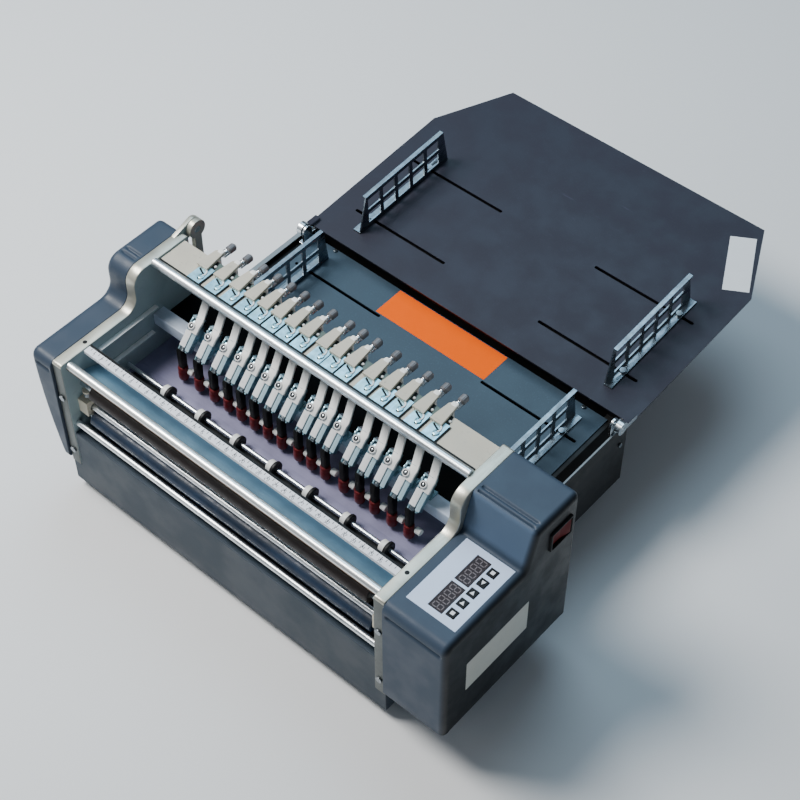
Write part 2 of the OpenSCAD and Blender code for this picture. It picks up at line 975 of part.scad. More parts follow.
// Plan of the strap: straight over the arm, then slanting aside to the pressure screw
module strap_plan() {
    half = strap_w / 2;
    front = pivot_y - 2 * strap_nose;
    rear = fork_y + fork_t;
    polygon([[strap_shift - half, front], [strap_shift + half, front], [strap_shift + half, pivot_y],
        [screw_shift + half, fork_y], [screw_shift + half, rear], [screw_shift - half, rear],
        [screw_shift - half, fork_y], [strap_shift - half, pivot_y]]);
}

// Upright fork at the strap's rear end, open at the top for the pressure screw
module strap_fork() {
    low = strap_z(fork_y, tongue_r + strap_room);
    slot_z = screw_z - screw_d / 2 - fork_low;
    difference() {
        translate([screw_shift - strap_w / 2, fork_y, low])
            cube([strap_w, fork_t, fork_top - low]);
        translate([screw_shift - fork_w / 2, fork_y - 1, slot_z])
            cube([fork_w, fork_t + 2, fork_top]);
    }
}

// Knife: channel arm on its pivot, strap and fork behind, holder, red cap, blade and side nut in front
module knife(k) {
    blade_y = pivot_y - blade_reach;
    cap_z = sheet_z + tip_gap + tip_h;
    holder_z = cap_z + cap_h - 1;
    holder_top = pivot_z - arm_front * sin(arm_angle) + 5;
    web_t = 2;
    web_start = tongue_r + 3;
    heel_start = tongue_r + 1.2;
    heel_low = -1;
    heel_h = 6.6;
    color("lightsteelblue") place()
        translate([knife_x[k - 1], 0, 0]) {
            difference() {
                union() {
                    for (side = [0, 1])
                        along_x(side == 0 ? -arm_w / 2 : arm_w / 2 - cheek_t, cheek_t)
                            cheek_outline();
                    along_x(-arm_w / 2, arm_w)
                        translate([pivot_y, pivot_z])
                            rotate(arm_angle)
                                translate([-arm_front, arm_d / 2 - web_t])
                                    square([arm_front - web_start, web_t]);
                    along_x(-arm_w / 2, arm_w)
                        translate([pivot_y, pivot_z])
                            rotate(arm_angle)
                                translate([heel_start, heel_low])
                                    square([web_t, heel_h]);
                }
                x_bar(-arm_w, arm_w, pivot_y, pivot_z, pin_d + 2 * fit_gap);
            }
            intersection() {
                along_x(2 * screw_shift, -4 * screw_shift)
                    strap_side();
                linear_extrude(deck_z)
                    strap_plan();
            }
            strap_fork();
            translate([-holder_w / 2, blade_y - holder_l / 2, holder_z])
                cube([holder_w, holder_l, holder_top - holder_z]);
            translate([0, blade_y, cap_z])
                cylinder(d = cap_d, h = cap_h);
            translate([0, blade_y, sheet_z + tip_gap])
                cylinder(d1 = tip_end_d, d2 = tip_d, h = tip_h);
            x_bar(holder_w / 2 - 1, holder_w / 2 + nut_l, blade_y, holder_z + nut_rise, nut_d);
        }
}

// Ivory blocks that carry the upper exit rod, each with a spring post and a washer
module bearing_blocks() {
    under = exit_rod_z - rod_d / 2 - block_under + block_over;
    top = exit_rod_z + rod_d / 2 + block_over;
    color("ivory") place()
        for (side = [-1, 1])
            translate([side * (half_in - block_w / 2), exit_y, 0]) {
                difference() {
                    translate([-block_w / 2, -block_l / 2, under])
                        cube([block_w, block_l, top - under]);
                    x_bar(-block_w, block_w, 0, exit_rod_z, rod_d + 2 * fit_gap);
                }
                translate([0, 0, top - thin])
                    cylinder(d = block_pin_d, h = block_spring_h + thin);
                translate([0, 0, top + block_spring_h])
                    cylinder(d = washer_d, h = washer_t);
            }
}

module front_rod() {
    color("silver") place()
        x_bar(-half_in, half_in, low_rod_y, low_rod_z, rod_d);
}

// Feed roller on its shaft; the right end carries a pulley and enters the motor
module feed_roller() {
    pulley_x = half_out + pulley_in;
    color("black") place() {
        x_bar(-half_in + roller_end, half_in - roller_end, pinch_y, feed_z, feed_d);
        x_bar(-half_out - shaft_past, half_out + motor_off + motor_l / 2, pinch_y, feed_z, shaft_d);
        x_bar(pulley_x, pulley_x + pulley_w, pinch_y, feed_z, pulley_d);
    }
}

// Pinch shaft with white collars and black wheels over the feed roller
module pinch_shaft() {
    first = wheel_shift - wheel_pitch * (wheel_count - 1) / 2;
    color("silver") place() {
        x_bar(-half_out, half_out, pinch_y, pinch_z, pinch_shaft_d);
        for (k = [0 : wheel_count - 1]) {
            x_bar(first + wheel_pitch * k - wheel_w / 2, first + wheel_pitch * k + wheel_w / 2,
                pinch_y, pinch_z, wheel_d);
            x_bar(first + wheel_pitch * k - wheel_w / 2 - collar_w, first + wheel_pitch * k,
                pinch_y, pinch_z, collar_d);
        }
    }
}

module exit_roller() {
    pulley_x = half_out + pulley_in;
    end = half_in - block_w - block_room;
    color("midnightblue") place() {
        x_bar(-end, end, exit_y, exit_roller_z, exit_d);
        x_bar(-half_out - shaft_past, pulley_x + pulley_w, exit_y, exit_roller_z, exit_shaft_d);
        x_bar(pulley_x, pulley_x + pulley_w, exit_y, exit_roller_z, pulley_d);
    }
}

module exit_rod() {
    end = half_in - gap;
    color("silver") place()
        x_bar(-end, end, exit_y, exit_rod_z, rod_d);
}

module press_roller() {
    color("saddlebrown") place() {
        x_bar(-half_in + press_end, half_in - press_end, press_y, press_z, press_d);
        x_bar(-half_out, half_out, press_y, press_z, press_shaft_d);
    }
}

// Feed motor: square body on four posts, with the feed roller's shaft in its bore
module feed_motor() {
    x0 = half_out + motor_off;
    post = motor_s / 2 - post_inset;
    color("darkslategray") place()
        difference() {
            union() {
                translate([x0, pinch_y - motor_s / 2, feed_z - motor_s / 2])
                    cube([motor_l, motor_s, motor_s]);
                for (y = [-post, post], z = [-post, post])
                    x_bar(half_out, x0 + 1, pinch_y + y, feed_z + z, post_d);
            }
            x_bar(x0 - 1, x0 + motor_l / 2 + gap, pinch_y, feed_z, shaft_d + 2 * fit_gap);
        }
}

// Feed tray plate with two pairs of slots for the side guides
module feed_tray() {
    color("slategray") place()
        difference() {
            translate([sheet_x - tray_x, tray_front, feed_top - tray_t])
                cube([2 * tray_x, tray_l, tray_t]);
            for (k = [0, 1], side = [-1, 1])
                translate([sheet_x, tray_front + slot_front + slot_step * k, feed_top - tray_t - 1])
                    guide_slot(side, slot_in);
        }
}

// One slot for a guide's screw, on the left or right of a tray's middle line
module guide_slot(side, inner) {
    if (side < 0)
        x_slot(-slot_out, -inner, 0, slot_w, 0, tray_t + 2);
    else
        x_slot(inner, slot_out, 0, slot_w, 0, tray_t + 2);
}

// Black box under the feed tray: ledges form the side gutters and carry the plate, the left wall has a rim
module tray_box() {
    ledge_z = feed_top - tray_t - sheet_t;
    front_top = ledge_z + sheet_t;
    color([0.1, 0.1, 0.12]) place() translate([sheet_x, 0, 0]) {
        difference() {
            translate([-box_x, tray_front, box_z])
                cube([2 * box_x, box_rear - tray_front, box_top - box_z]);
            translate([-box_x + sheet_t, tray_front + sheet_t, box_z + sheet_t])
                cube([2 * (box_x - sheet_t), box_rear - tray_front - 2 * sheet_t, box_top]);
            translate([-box_x + sheet_t, tray_front - 1, front_top])
                cube([2 * (box_x - sheet_t), sheet_t + 2, box_top]);
        }
        for (side = [-1, 1])
            translate([side * (box_x - sheet_t / 2 - ledge_w / 2) - ledge_w / 2, tray_front + sheet_t - thin,
                ledge_z])
                cube([ledge_w, box_rear - tray_front - 2 * sheet_t + 2 * thin, sheet_t]);
        translate([-box_x, tray_front, box_top - sheet_t])
            cube([box_rim, box_rear - tray_front, sheet_t]);
    }
}

// One hinge bracket in (y, z): an upright with a round head and a level arm that stops the tray
module bracket_outline(foot_z) {
    stop_z = ext_z - tray_t - gap;
    arm_h = stop_z - box_top - gap;
    translate([hinge_y, hinge_z])
        circle(r = hinge_r - 1);
    translate([hinge_y - hinge_r + 1, foot_z])
        square([2 * (hinge_r - 1), hinge_z - foot_z]);
    translate([hinge_y, stop_z - arm_h])
        square([ext_y + stop_l - hinge_y, arm_h]);
}

// Both hinge brackets with their pins: the right one on the box wall, the left one on the ledge
module hinge_brackets() {
    right_x = sheet_x + box_x - sheet_t - bracket_t;
    ledge_top = feed_top - tray_t;
    left_ear = ext_x + ear_t;
    left_x = left_ear + 2 * gap;
    color("gainsboro") place() {
        along_x(right_x, bracket_t)
            bracket_outline(feed_top);
        x_bar(right_x, ext_right, hinge_y, hinge_z, hinge_pin_d);
        along_x(left_x, bracket_t)
            bracket_outline(ledge_top);
        translate([left_x + bracket_t - bracket_foot_w, hinge_y - hinge_r + 1, ledge_top])
            cube([bracket_foot_w, 2 * (hinge_r - 1), bracket_t]);
        x_bar(ext_x, left_x + bracket_t, hinge_y, hinge_z, hinge_pin_d);
    }
}

// Extension tray: plate with cut far corners and four slots, and an ear on each side for the hinge
module extension_tray() {
    color([0.25, 0.25, 0.3]) place()
        difference() {
            union() {
                translate([0, ext_y, ext_z])
                    rotate([ext_tilt, 0, 0])
                        difference() {
                            translate([0, 0, -tray_t])
                                linear_extrude(tray_t)
                                    polygon([[ext_x, 0], [ext_right, 0], [ext_right, ext_l - ext_cut_y],
                                        [ext_right - ext_cut_x, ext_l], [ext_x + ext_cut_x, ext_l],
                                        [ext_x, ext_l - ext_cut_y]]);
                            for (k = [0, 1], side = [-1, 1])
                                translate([ext_mid, ext_slot_front + ext_slot_step * k, -tray_t - 1])
                                    guide_slot(side, ext_slot_in);
                        }
                for (x = [ext_x, ext_right - ear_t])
                    along_x(x, ear_t) {
                        translate([hinge_y, hinge_z])
                            circle(r = hinge_r);
                        translate([hinge_y, ext_z - tray_t])
                            square([ext_y - hinge_y + 10, hinge_z - ext_z + tray_t + 1]);
                    }
            }
            x_bar(ext_x - 1, ext_right + 1, hinge_y, hinge_z, hinge_pin_d + 2 * fit_gap);
        }
}

// Side guide for the right of the sheet: ladder plate with a folded top edge on a foot, and two clamp
// screws through the slots
module guide_body(screw_near, screw_step) {
    col = (guide_l - 2 * guide_lean) / guide_cols;
    row = (guide_h - 3 * guide_rim) / 2;
    foot_mid = guide_foot / 2 + guide_t / 2;
    difference() {
        along_x(0, guide_t)
            polygon([[0, 0], [guide_l, 0], [guide_l - guide_lean / 2, guide_h], [guide_lean, guide_h]]);
        for (c = [0 : guide_cols - 1], r = [0, 1])
            translate([-1, guide_lean + col * c + guide_rim / 2, guide_rim + (row + guide_rim) * r])
                cube([guide_t + 2, col - guide_rim, row]);
    }
    cube([guide_foot, guide_l, guide_t]);
    translate([0, guide_lean, guide_h - guide_t])
        cube([guide_flange, guide_l - 1.5 * guide_lean, guide_t]);
    for (k = [0, 1])
        translate([foot_mid, screw_near + screw_step * k, 0]) {
            translate([0, 0, guide_t - thin])
                cylinder(d = guide_head_d, h = guide_head_h);
            translate([0, 0, -tray_t - 2 * gap - guide_nut_h])
                cylinder(d = guide_screw_d, h = tray_t + 2 * gap + guide_nut_h + guide_t);
            translate([0, 0, -tray_t - 2 * gap - guide_nut_h])
                cylinder(d = guide_nut_d, h = guide_nut_h);
        }
}

// Sets a guide on the left or right of a middle line, a little above its plate
module guide_pair(side, mid, half, screw_near, screw_step) {
    translate([mid, 0, gap])
        mirror([side < 0 ? 1 : 0, 0, 0])
            translate([half, 0, 0])
                guide_body(screw_near, screw_step);
}

module feed_guide(side) {
    color("lightsteelblue") place()
        translate([0, tray_front + guide_back, feed_top])
            guide_pair(side, sheet_x, guide_half, slot_front - guide_back, slot_step);
}

module extension_guide(side) {
    color("lightsteelblue") place()
        translate([0, ext_y, ext_z])
            rotate([ext_tilt, 0, 0])
                translate([0, ext_guide_in, 0])
                    guide_pair(side, ext_guide_mid, ext_guide_half, ext_slot_front - ext_guide_in,
                        ext_slot_step);
}

// Release lever: a round eye on the left plate's pin, with an arm and a grip that hang behind the plate
module release_lever() {
    x0 = -half_out + lug_t + gap;
    arm = 9;
    color("silver") place()
        difference() {
            union() {
                x_bar(x0, x0 + lever_t, lever_y, lever_z, 2 * lever_r);
                translate([x0, lever_y - arm / 2, lever_z - lever_l])
                    cube([lever_t, arm, lever_l]);
                x_bar(x0, x0 + lever_t, lever_y, lever_z - lever_l, lever_grip_d);
            }
            x_bar(x0 - 1, x0 + lever_t + 1, lever_y, lever_z, lever_pin_d + 2 * fit_gap);
        }
}

// Four rubber feet: two under the front corners, two under the rear leg
module rubber_feet() {
    front = 18;
    rear = plate_l + rear_leg_l - 18;
    taper = 3;
    color("black") place()
        for (side = [-1, 1], y = [front, rear])
            translate([side * (y == front ? half_in - 5 : rear_leg_x - 18), y, 0])
                cylinder(d1 = foot_d - taper, d2 = foot_d, h = foot_h);
}

// Screws on the plates' front edges, at the feed tray's rear corners and on the box's right wall
module plate_screws() {
    box_right = sheet_x + box_x;
    color("gray") place() {
        for (side = [-1, 1], z = [base_top + 20, sheet_z + 21])
            translate([side * (half_in + plate_t / 2), -plate_screw_h, z])
                rotate([-90, 0, 0])
                    cylinder(d = plate_screw_d, h = plate_screw_h);
        for (side = [-1, 1])
            translate([sheet_x + side * tray_screw_x, tray_rear - 3, feed_top])
                cylinder(d = tray_screw_d, h = plate_screw_h);
        x_bar(box_right, box_right + plate_screw_h, hinge_y + wall_screw_y, hinge_z - wall_screw_drop,
            wall_screw_d);
    }
}

base_pan();
left_side_plate();
right_side_plate();
left_end_cover();
right_end_cover();
control_panel();
display_windows();
knife_beam();
knife_rail();
knife_bar();
tie_tube();
guide_strip();
ruler_bar();
platen();
hook_plates();
pressure_tabs();
pressure_screws();
coil_springs();
pivot_blocks();
bearing_blocks();
front_rod();
feed_tray();
tray_box();
hinge_brackets();
rubber_feet();
plate_screws();
feed_motor();
feed_roller();
pinch_shaft();
exit_roller();
exit_rod();
press_roller();
extension_tray();
feed_guide(-1);  // feed_guide_left
feed_guide(1);  // feed_guide_right
extension_guide(-1);  // extension_guide_left
extension_guide(1);  // extension_guide_right
key_cap(1);  // key_1
key_cap(2);  // key_2
key_cap(3);  // key_3
key_cap(4);  // key_4
key_cap(5);  // key_5
power_rocker();
release_lever();
knife(1);  // knife_01
knife(2);  // knife_02
knife(3);  // knife_03
knife(4);  // knife_04
knife(5);  // knife_05
knife(6);  // knife_06
knife(7);  // knife_07
knife(8);  // knife_08
knife(9);  // knife_09
knife(10);  // knife_10
knife(11);  // knife_11
knife(12);  // knife_12
knife(13);  // knife_13
knife(14);  // knife_14
knife(15);  // knife_15
knife(16);  // knife_16
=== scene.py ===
import json
import math
import bmesh
import bpy
import numpy as np
from mathutils import Matrix, Vector
from mathutils.geometry import tessellate_polygon


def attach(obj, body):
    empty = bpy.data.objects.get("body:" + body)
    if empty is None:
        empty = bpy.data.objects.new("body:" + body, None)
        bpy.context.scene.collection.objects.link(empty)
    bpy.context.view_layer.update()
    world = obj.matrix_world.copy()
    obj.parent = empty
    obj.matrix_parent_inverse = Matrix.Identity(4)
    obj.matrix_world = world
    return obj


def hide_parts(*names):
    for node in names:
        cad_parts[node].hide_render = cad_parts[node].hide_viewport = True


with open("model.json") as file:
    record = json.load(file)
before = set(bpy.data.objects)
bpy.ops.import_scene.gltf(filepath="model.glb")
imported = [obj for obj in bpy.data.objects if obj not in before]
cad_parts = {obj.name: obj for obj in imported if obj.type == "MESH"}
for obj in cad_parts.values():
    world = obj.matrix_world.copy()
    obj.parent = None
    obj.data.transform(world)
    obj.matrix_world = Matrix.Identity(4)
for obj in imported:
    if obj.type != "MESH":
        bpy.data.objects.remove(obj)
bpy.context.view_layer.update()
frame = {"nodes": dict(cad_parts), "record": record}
nodes = frame["nodes"]
bodyOf = {n: b for b, members in frame["record"]["behaviour"]["bodies"].items() for n in members}
slotOf = {s["node"]: s["material_slot"] for s in frame["record"]["subparts"]}
print("frame loaded:", len(nodes), "nodes")

# lengths below are in millimetres in the drawing's frame: x = 0 midway between the side plates,
# y = 0 at their front edge, z = 0 on the desk; the row frame has its origin at the footprint's middle
middle = np.array([24.75, 301.8289, 0.0])
machine = dict(
    halfIn=190.0, halfOut=202.0, plateL=169.0, lowZ=182.0, highZ=224.0, sheetZ=114.0, stepY=97.0, footR=14.0,
    headR=16.0, baseTop=39.0)
knifeX = np.array([-140, -118.5, -98.5, -80, -63, -46, -29, -11.5,
                   9.5, 25.5, 42.5, 65, 84, 102, 122.5, 142.5])


def rowFrame(points):
    return (np.asarray(points, float) - middle) / 1000.0


def srgb(r, g, b):
    c = np.array([r, g, b], float) / 255.0
    lin = np.where(c <= 0.04045, c / 12.92, ((c + 0.055) / 1.055) ** 2.4)
    return (*lin.tolist(), 1.0)


# shader maths


class Term:  # one output socket; sums, products and comparisons of terms add Math nodes
    def __init__(self, finish, socket):
        self.finish, self.socket = finish, socket

    def calc(self, kind, other):
        return self.finish.add("Math", {"operation": kind}, {0: self, 1: other})

    def __add__(self, o):
        return self.calc("ADD", o)

    def __mul__(self, o):
        return self.calc("MULTIPLY", o)

    def __gt__(self, o):
        return self.calc("GREATER_THAN", o)


class Finish:  # one material with its principled shader
    def __init__(self, name, **fixed):
        self.name, self.material = name, bpy.data.materials.new(name)
        self.material.use_nodes = True
        self.tree = self.material.node_tree
        self.shader = self.tree.nodes["Principled BSDF"]
        self.feed(**fixed)

    def add(self, kind, settings=None, sockets=None, out=0):
        node = self.tree.nodes.new("ShaderNode" + kind)
        for key, value in (settings or {}).items():
            setattr(node, key, value)
        for key, value in (sockets or {}).items():
            self.plug(node.inputs[key], value)
        return Term(self, node.outputs[out])

    def plug(self, socket, value):
        if isinstance(value, Term):
            self.tree.links.new(value.socket, socket)
        else:
            socket.default_value = value

    def feed(self, **values):
        names = {"baseColor": "Base Color", "specular": "Specular IOR Level"}
        for key, value in values.items():
            self.plug(self.shader.inputs[names.get(key, key.capitalize())], value)

    def spot(self):  # place in the object's own frame
        return self.add("TexCoord", out=3)

    def axis(self, which):  # object coordinate in metres
        return self.add("SeparateXYZ", sockets={0: self.spot()}, out="xyz".index(which))

    def scaled(self, size, stretch):  # that place counted in cells of `size` mm
        return self.add("Mapping", {}, {"Vector": self.spot(), "Scale": [1000.0 / size * s for s in stretch]})

    def cloud(self, size, stretch=(1.0, 1.0, 1.0), detail=3.0):  # noise with blots of `size` mm
        return self.add("TexNoise", {}, {"Vector": self.scaled(size, stretch), "Scale": 1.0, "Detail": detail,
                                         "Roughness": 0.55})

    def cells(self, size):  # distance to the nearest of scattered points, in cells of `size` mm
        return self.add("TexVoronoi", {}, {"Vector": self.scaled(size, (1.0, 1.0, 1.0)), "Scale": 1.0})

    def span(self, value, low, high, first=0.0, last=1.0):  # smooth ramp between two values
        return self.add("MapRange", {"interpolation_type": "SMOOTHSTEP"},
                        {0: value, 1: low, 2: high, 3: first, 4: last})

    def mix(self, amount, a, b):
        return self.add("Mix", {"data_type": "RGBA"}, {0: amount, 6: a, 7: b}, out=2)

    def tones(self, amount, colour, low, high):  # one colour between two brightnesses
        return self.mix(amount, shade(colour, low), shade(colour, high))

    # colour, roughness that drifts from `smooth` to `rough`, and a bump of `depth` mm
    def surface(self, tint, drift, smooth, rough, height, depth):
        self.feed(baseColor=tint, roughness=self.span(drift, 0.3, 0.7, smooth, rough),
                  normal=self.add("Bump", {}, {"Strength": 1.0, "Distance": depth / 1000.0, "Height": height}))
        return self


def shade(colour, k):  # the colour made lighter or darker by a factor
    return (*[min(1.0, c * k) for c in colour[:3]], 1.0)


# powder-coated sheet: fine pebbled grain, cloudy tone, a few pale scuffs along the sliding direction
def paintedSheet(name, colour, grain=1.6, depth=0.05, rough=0.5, scuff=0.25, tone=0.16, gloss=0.4):
    f = Finish(name, specular=gloss)
    tint = f.tones(f.cloud(70, detail=4), colour, 1 - tone, 1 + tone)
    speck = f.span(f.cloud(grain, detail=2), 0.56, 0.72)
    tint = f.mix(speck * 0.35, tint, shade(colour, 1.7))
    marks = f.span(f.cloud(16, (0.25, 1.6, 1.0), 4), 0.66, 0.74) * f.span(f.cloud(90), 0.5, 0.62) * scuff
    tint = f.mix(marks, tint, shade(colour, 3.2))
    return f.surface(tint, f.cloud(35), rough - 0.07, rough + 0.09, f.cloud(grain, detail=2), depth)


# moulded plastic: spark-eroded grain, faint flow clouds and worn paler patches, with painted light on one face and
# painted shade towards an outer side where asked
def mouldedPlastic(name, colour, grain=1.1, depth=0.035, rough=0.46, tone=0.1, sheen=0.45,
                   dusk=None, rubbed=None):
    f = Finish(name, specular=sheen)
    tint = f.tones(f.cloud(55, detail=4), colour, 1 - tone, 1 + tone)
    tint = f.mix(f.span(f.cloud(9, detail=5), 0.6, 0.78) * 0.22, tint, shade(colour, 1.6))
    if rubbed:  # painted light: paler on one face, above a height and in front of a place, in metres
        height, place, k = rubbed
        tint = f.mix(f.span(f.axis("z"), *height) * f.span(f.axis("y"), *place), tint, shade(colour, k))
    if dusk:  # painted shade: darker towards an outer side face, between two places along x in metres
        tint = f.mix(f.span(f.axis("x"), dusk[0], dusk[1]), tint, shade(colour, dusk[2]))
    return f.surface(tint, f.cloud(28), rough - 0.06, rough + 0.1, f.cells(grain), depth)


# zinc plate: pale blue metal with clouds that drift towards yellow, and fine rolling lines
def zincPlate(name, colour, rough=0.3):
    f = Finish(name, metallic=1.0)
    tint = f.tones(f.span(f.cloud(7, detail=4), 0.3, 0.7), colour, 0.78, 1.12)
    warm = (colour[0] * 1.05, colour[1] * 0.98, colour[2] * 0.8, 1.0)
    tint = f.mix(f.span(f.cloud(22), 0.52, 0.7) * 0.5, tint, warm)
    return f.surface(tint, f.cloud(5, (1, 0.3, 1)), rough - 0.1, rough + 0.14, f.cloud(1.2, (1, 0.12, 1)), 0.012)


# bright steel: turning or drawing lines along one axis, thin dull film here and there
def brightSteel(name, colour, rough=0.18, lines=(0.02, 1.0, 1.0), metal=1.0, groove=0.0008):
    f = Finish(name, metallic=metal)
    brush = f.cloud(1.0, lines, 3)
    tint = f.tones(f.span(f.cloud(30, detail=4), 0.35, 0.7), colour, 1.05, 0.8)
    tint = f.mix(f.span(brush, 0.35, 0.65) * 0.12, tint, shade(colour, 0.7))
    return f.surface(tint, brush, rough - 0.04, rough + 0.06, brush, groove)


# bright tube whose underside, below a height given in metres, is brown and duller: a painted reflection
def underReflection(name, colour, below, high, low):
    f = Finish(name, metallic=0.9)
    reflectionShare = f.span(f.axis("z") + f.cloud(20) * 0.0006, high, low)
    tint = f.mix(f.span(f.cloud(30, (0.1, 1, 1), 4), 0.35, 0.7) * 0.3, colour, shade(colour, 0.8))
    f.feed(baseColor=f.mix(reflectionShare, tint, below), roughness=reflectionShare * 0.3 + 0.28)
    return f


# satin paint on parts that are touched: thin orange-peel bump, dust and small chips
def satinPaint(name, colour, rough=0.4, chip=0.4):
    f = Finish(name, specular=0.45)
    tint = f.tones(f.cloud(24, detail=5), colour, 0.84, 1.1)
    dust = f.span(f.cloud(5, detail=5), 0.58, 0.75) * 0.3
    tint = f.mix(dust, tint, shade(colour, 0.55))
    tint = f.mix((f.cloud(2.6, detail=3) > 0.71) * chip, tint, srgb(90, 88, 84))
    return f.surface(tint, f.cloud(12), rough - 0.08, rough + 0.12, f.cloud(1.8, detail=2), 0.03)


# ground rubber: dull, with fine rings round the roller and paler dusty bands
def groundRubber(name, colour, rough=0.55):
    f = Finish(name, specular=0.4)
    rings = f.cloud(1.4, (1.0, 0.03, 0.03), 3)
    tint = f.tones(f.span(f.cloud(14, (0.4, 1, 1), 4), 0.35, 0.7), colour, 0.75, 1.5)
    tint = f.mix(f.span(rings, 0.5, 0.75) * 0.3, tint, shade(colour, 2.4))
    return f.surface(tint, f.cloud(9), rough - 0.1, rough + 0.1, rings, 0.03)


# printed or bare film and paper: slight tone, fibres and a soft sheen
def filmSheet(name, colour, rough=0.35, tone=0.04, fibre=0.02, sheen=0.5):
    f = Finish(name, specular=sheen)
    tint = f.tones(f.cloud(18, detail=4), colour, 1 - tone, 1 + tone)
    tint = f.mix(f.span(f.cloud(2.2, detail=4), 0.55, 0.8) * 0.2, tint, shade(colour, 0.82))
    return f.surface(tint, f.cloud(10), rough - 0.05, rough + 0.12, f.cloud(1.5, detail=2), fibre)


finishes = {f.name: f for f in (
    paintedSheet("basePaint", srgb(46, 59, 71), rough=0.52),
    brightSteel("castPlate", srgb(204, 202, 188), 0.36, (1.0, 0.05, 0.3), 0.7),
    brightSteel("shadedCastFront", srgb(112, 116, 114), 0.5, (1.0, 0.05, 0.3), 0.6),
    satinPaint("plateSide", srgb(150, 170, 174), 0.5, 0.2),
    mouldedPlastic("coverPlastic", srgb(48, 62, 79)),
    # right cover: painted shade on its outer side, painted light on the step's leaning face
    mouldedPlastic("rightCover", srgb(57, 71, 88), sheen=0.32, dusk=(0.2395, 0.2462, 0.06),
                   rubbed=((0.184, 0.192), (-0.1865, -0.1905), 2.2)),
    filmSheet("panelFilm", srgb(206, 224, 255)),
    filmSheet("smokedWindow", srgb(48, 42, 46), 0.45, 0.08, 0.005, 0.2),
    satinPaint("ivoryPaint", srgb(198, 192, 176)),
    brightSteel("chromeRod", srgb(240, 244, 246), 0.3, groove=0.0001),
    underReflection("tubeChrome", srgb(240, 242, 240), srgb(104, 74, 52), 0.1776, 0.1760),
    zincPlate("zincArm", srgb(160, 196, 210), 0.34),
    zincPlate("zincHook", srgb(172, 216, 228), 0.34),
    zincPlate("zincGuide", srgb(142, 152, 160)),
    satinPaint("whiteZinc", srgb(248, 250, 252), 0.3, 0.2),
    satinPaint("paleZinc", srgb(166, 196, 208), 0.35, 0.1),
    brightSteel("blueSteel", srgb(210, 222, 240), 0.35, (0.02, 1, 1), 0.1),
    brightSteel("stripSteel", srgb(108, 142, 162), 0.4, (0.02, 1, 1), 0.3),
    brightSteel("brightSteel", srgb(214, 220, 224), 0.22, (0.3, 0.3, 0.3)),
    filmSheet("rulerWhite", srgb(238, 240, 246)),
    brightSteel("platenSteel", srgb(140, 138, 168), 0.5, (0.03, 1, 1), 0.15),
    brightSteel("screwSteel", srgb(150, 156, 160), 0.28, (1, 1, 0.2)),
    brightSteel("knobSteel", srgb(132, 130, 132), 0.42, (1, 0.2, 1), 0.6),
    satinPaint("ivoryPlastic", srgb(222, 212, 190), 0.42, 0.15),
    satinPaint("oiledDeck", srgb(84, 100, 94), 0.45, 0.3),
    paintedSheet("trayPaint", srgb(52, 70, 84), rough=0.46, scuff=0.15),
    paintedSheet("blackPaint", srgb(12, 13, 14), rough=0.5, scuff=0.1),
    paintedSheet("guardBlack", srgb(6, 6, 6), rough=0.7, scuff=0.0, gloss=0.08),
    paintedSheet("darkTrayPaint", srgb(34, 34, 48), rough=0.5, scuff=0.5, tone=0.06),
    groundRubber("blackRubber", srgb(18, 18, 20)),
    groundRubber("blueRubber", srgb(24, 42, 64), 0.4),
    groundRubber("brownRubber", srgb(26, 15, 13), 0.5),
    satinPaint("whitePaint", srgb(244, 244, 242), 0.45, 0.5),
    mouldedPlastic("blackPlastic", srgb(12, 12, 13), 0.8, 0.02, 0.45, 0.1, 0.25),
    mouldedPlastic("redCap", srgb(102, 24, 28), 0.9, 0.03, 0.4, 0.25, 0.3),
    mouldedPlastic("redRocker", srgb(92, 4, 8), 2.0, 0.01, 0.5, 0.12, 0.15),
    mouldedPlastic("whiteNut", srgb(244, 244, 240), 0.9, 0.03, 0.4),
    filmSheet("printGrey", srgb(112, 104, 108), 0.5),
    filmSheet("printInk", srgb(38, 42, 52), 0.5),
    filmSheet("printWhite", srgb(236, 238, 242), 0.4),
    filmSheet("orangePaper", srgb(255, 100, 0), 0.9, 0.06, 0.05, 0.0),
    filmSheet("whitePaper", srgb(226, 230, 234), 0.5, 0.04, 0.04),
    satinPaint("rimGrey", srgb(120, 132, 140), 0.4, 0.2),
    filmSheet("silverFilm", srgb(206, 206, 196), 0.35, 0.06, 0.02),
)}
print("finishes:", len(finishes))


# shapes as grids of points


def gridFaces(rows, cols):  # four-sided faces between neighbouring rows of points, each row a closed ring
    r, c = np.arange(rows - 1)[:, None], np.arange(cols)[None, :]
    c2 = (c + 1) % cols
    return np.stack([r * cols + c, r * cols + c2, (r + 1) * cols + c2, (r + 1) * cols + c], -1).reshape(-1, 4)


def cappedFaces(rows, cols):  # the same, with a many-sided face at each end
    return gridFaces(rows, cols).tolist() + [list(range(cols))[::-1], list(range(cols * (rows - 1), cols * rows))]


def circle(a):  # points of the unit circle at angles in radians
    return np.stack([np.cos(a), np.sin(a)], -1)


def cosSin(degrees):
    return math.cos(math.radians(degrees)), math.sin(math.radians(degrees))


# closed outline moved inwards by `inset`: each corner goes along the bisector of its two edges
def insetLoop(loop, inset):
    ahead = np.roll(loop, -1, 0) - loop
    back = loop - np.roll(loop, 1, 0)
    n1 = np.stack([-back[:, 1], back[:, 0]], 1) / np.linalg.norm(back, axis=1, keepdims=True)
    n2 = np.stack([-ahead[:, 1], ahead[:, 0]], 1) / np.linalg.norm(ahead, axis=1, keepdims=True)
    return loop + inset * (n1 + n2) / (1.0 + (n1 * n2).sum(1, keepdims=True))


def turnLeft(loop):  # the same outline, running anticlockwise
    a, b = loop, np.roll(loop, -1, 0)
    return loop if (a[:, 0] * b[:, 1] - a[:, 1] * b[:, 0]).sum() > 0 else loop[::-1]


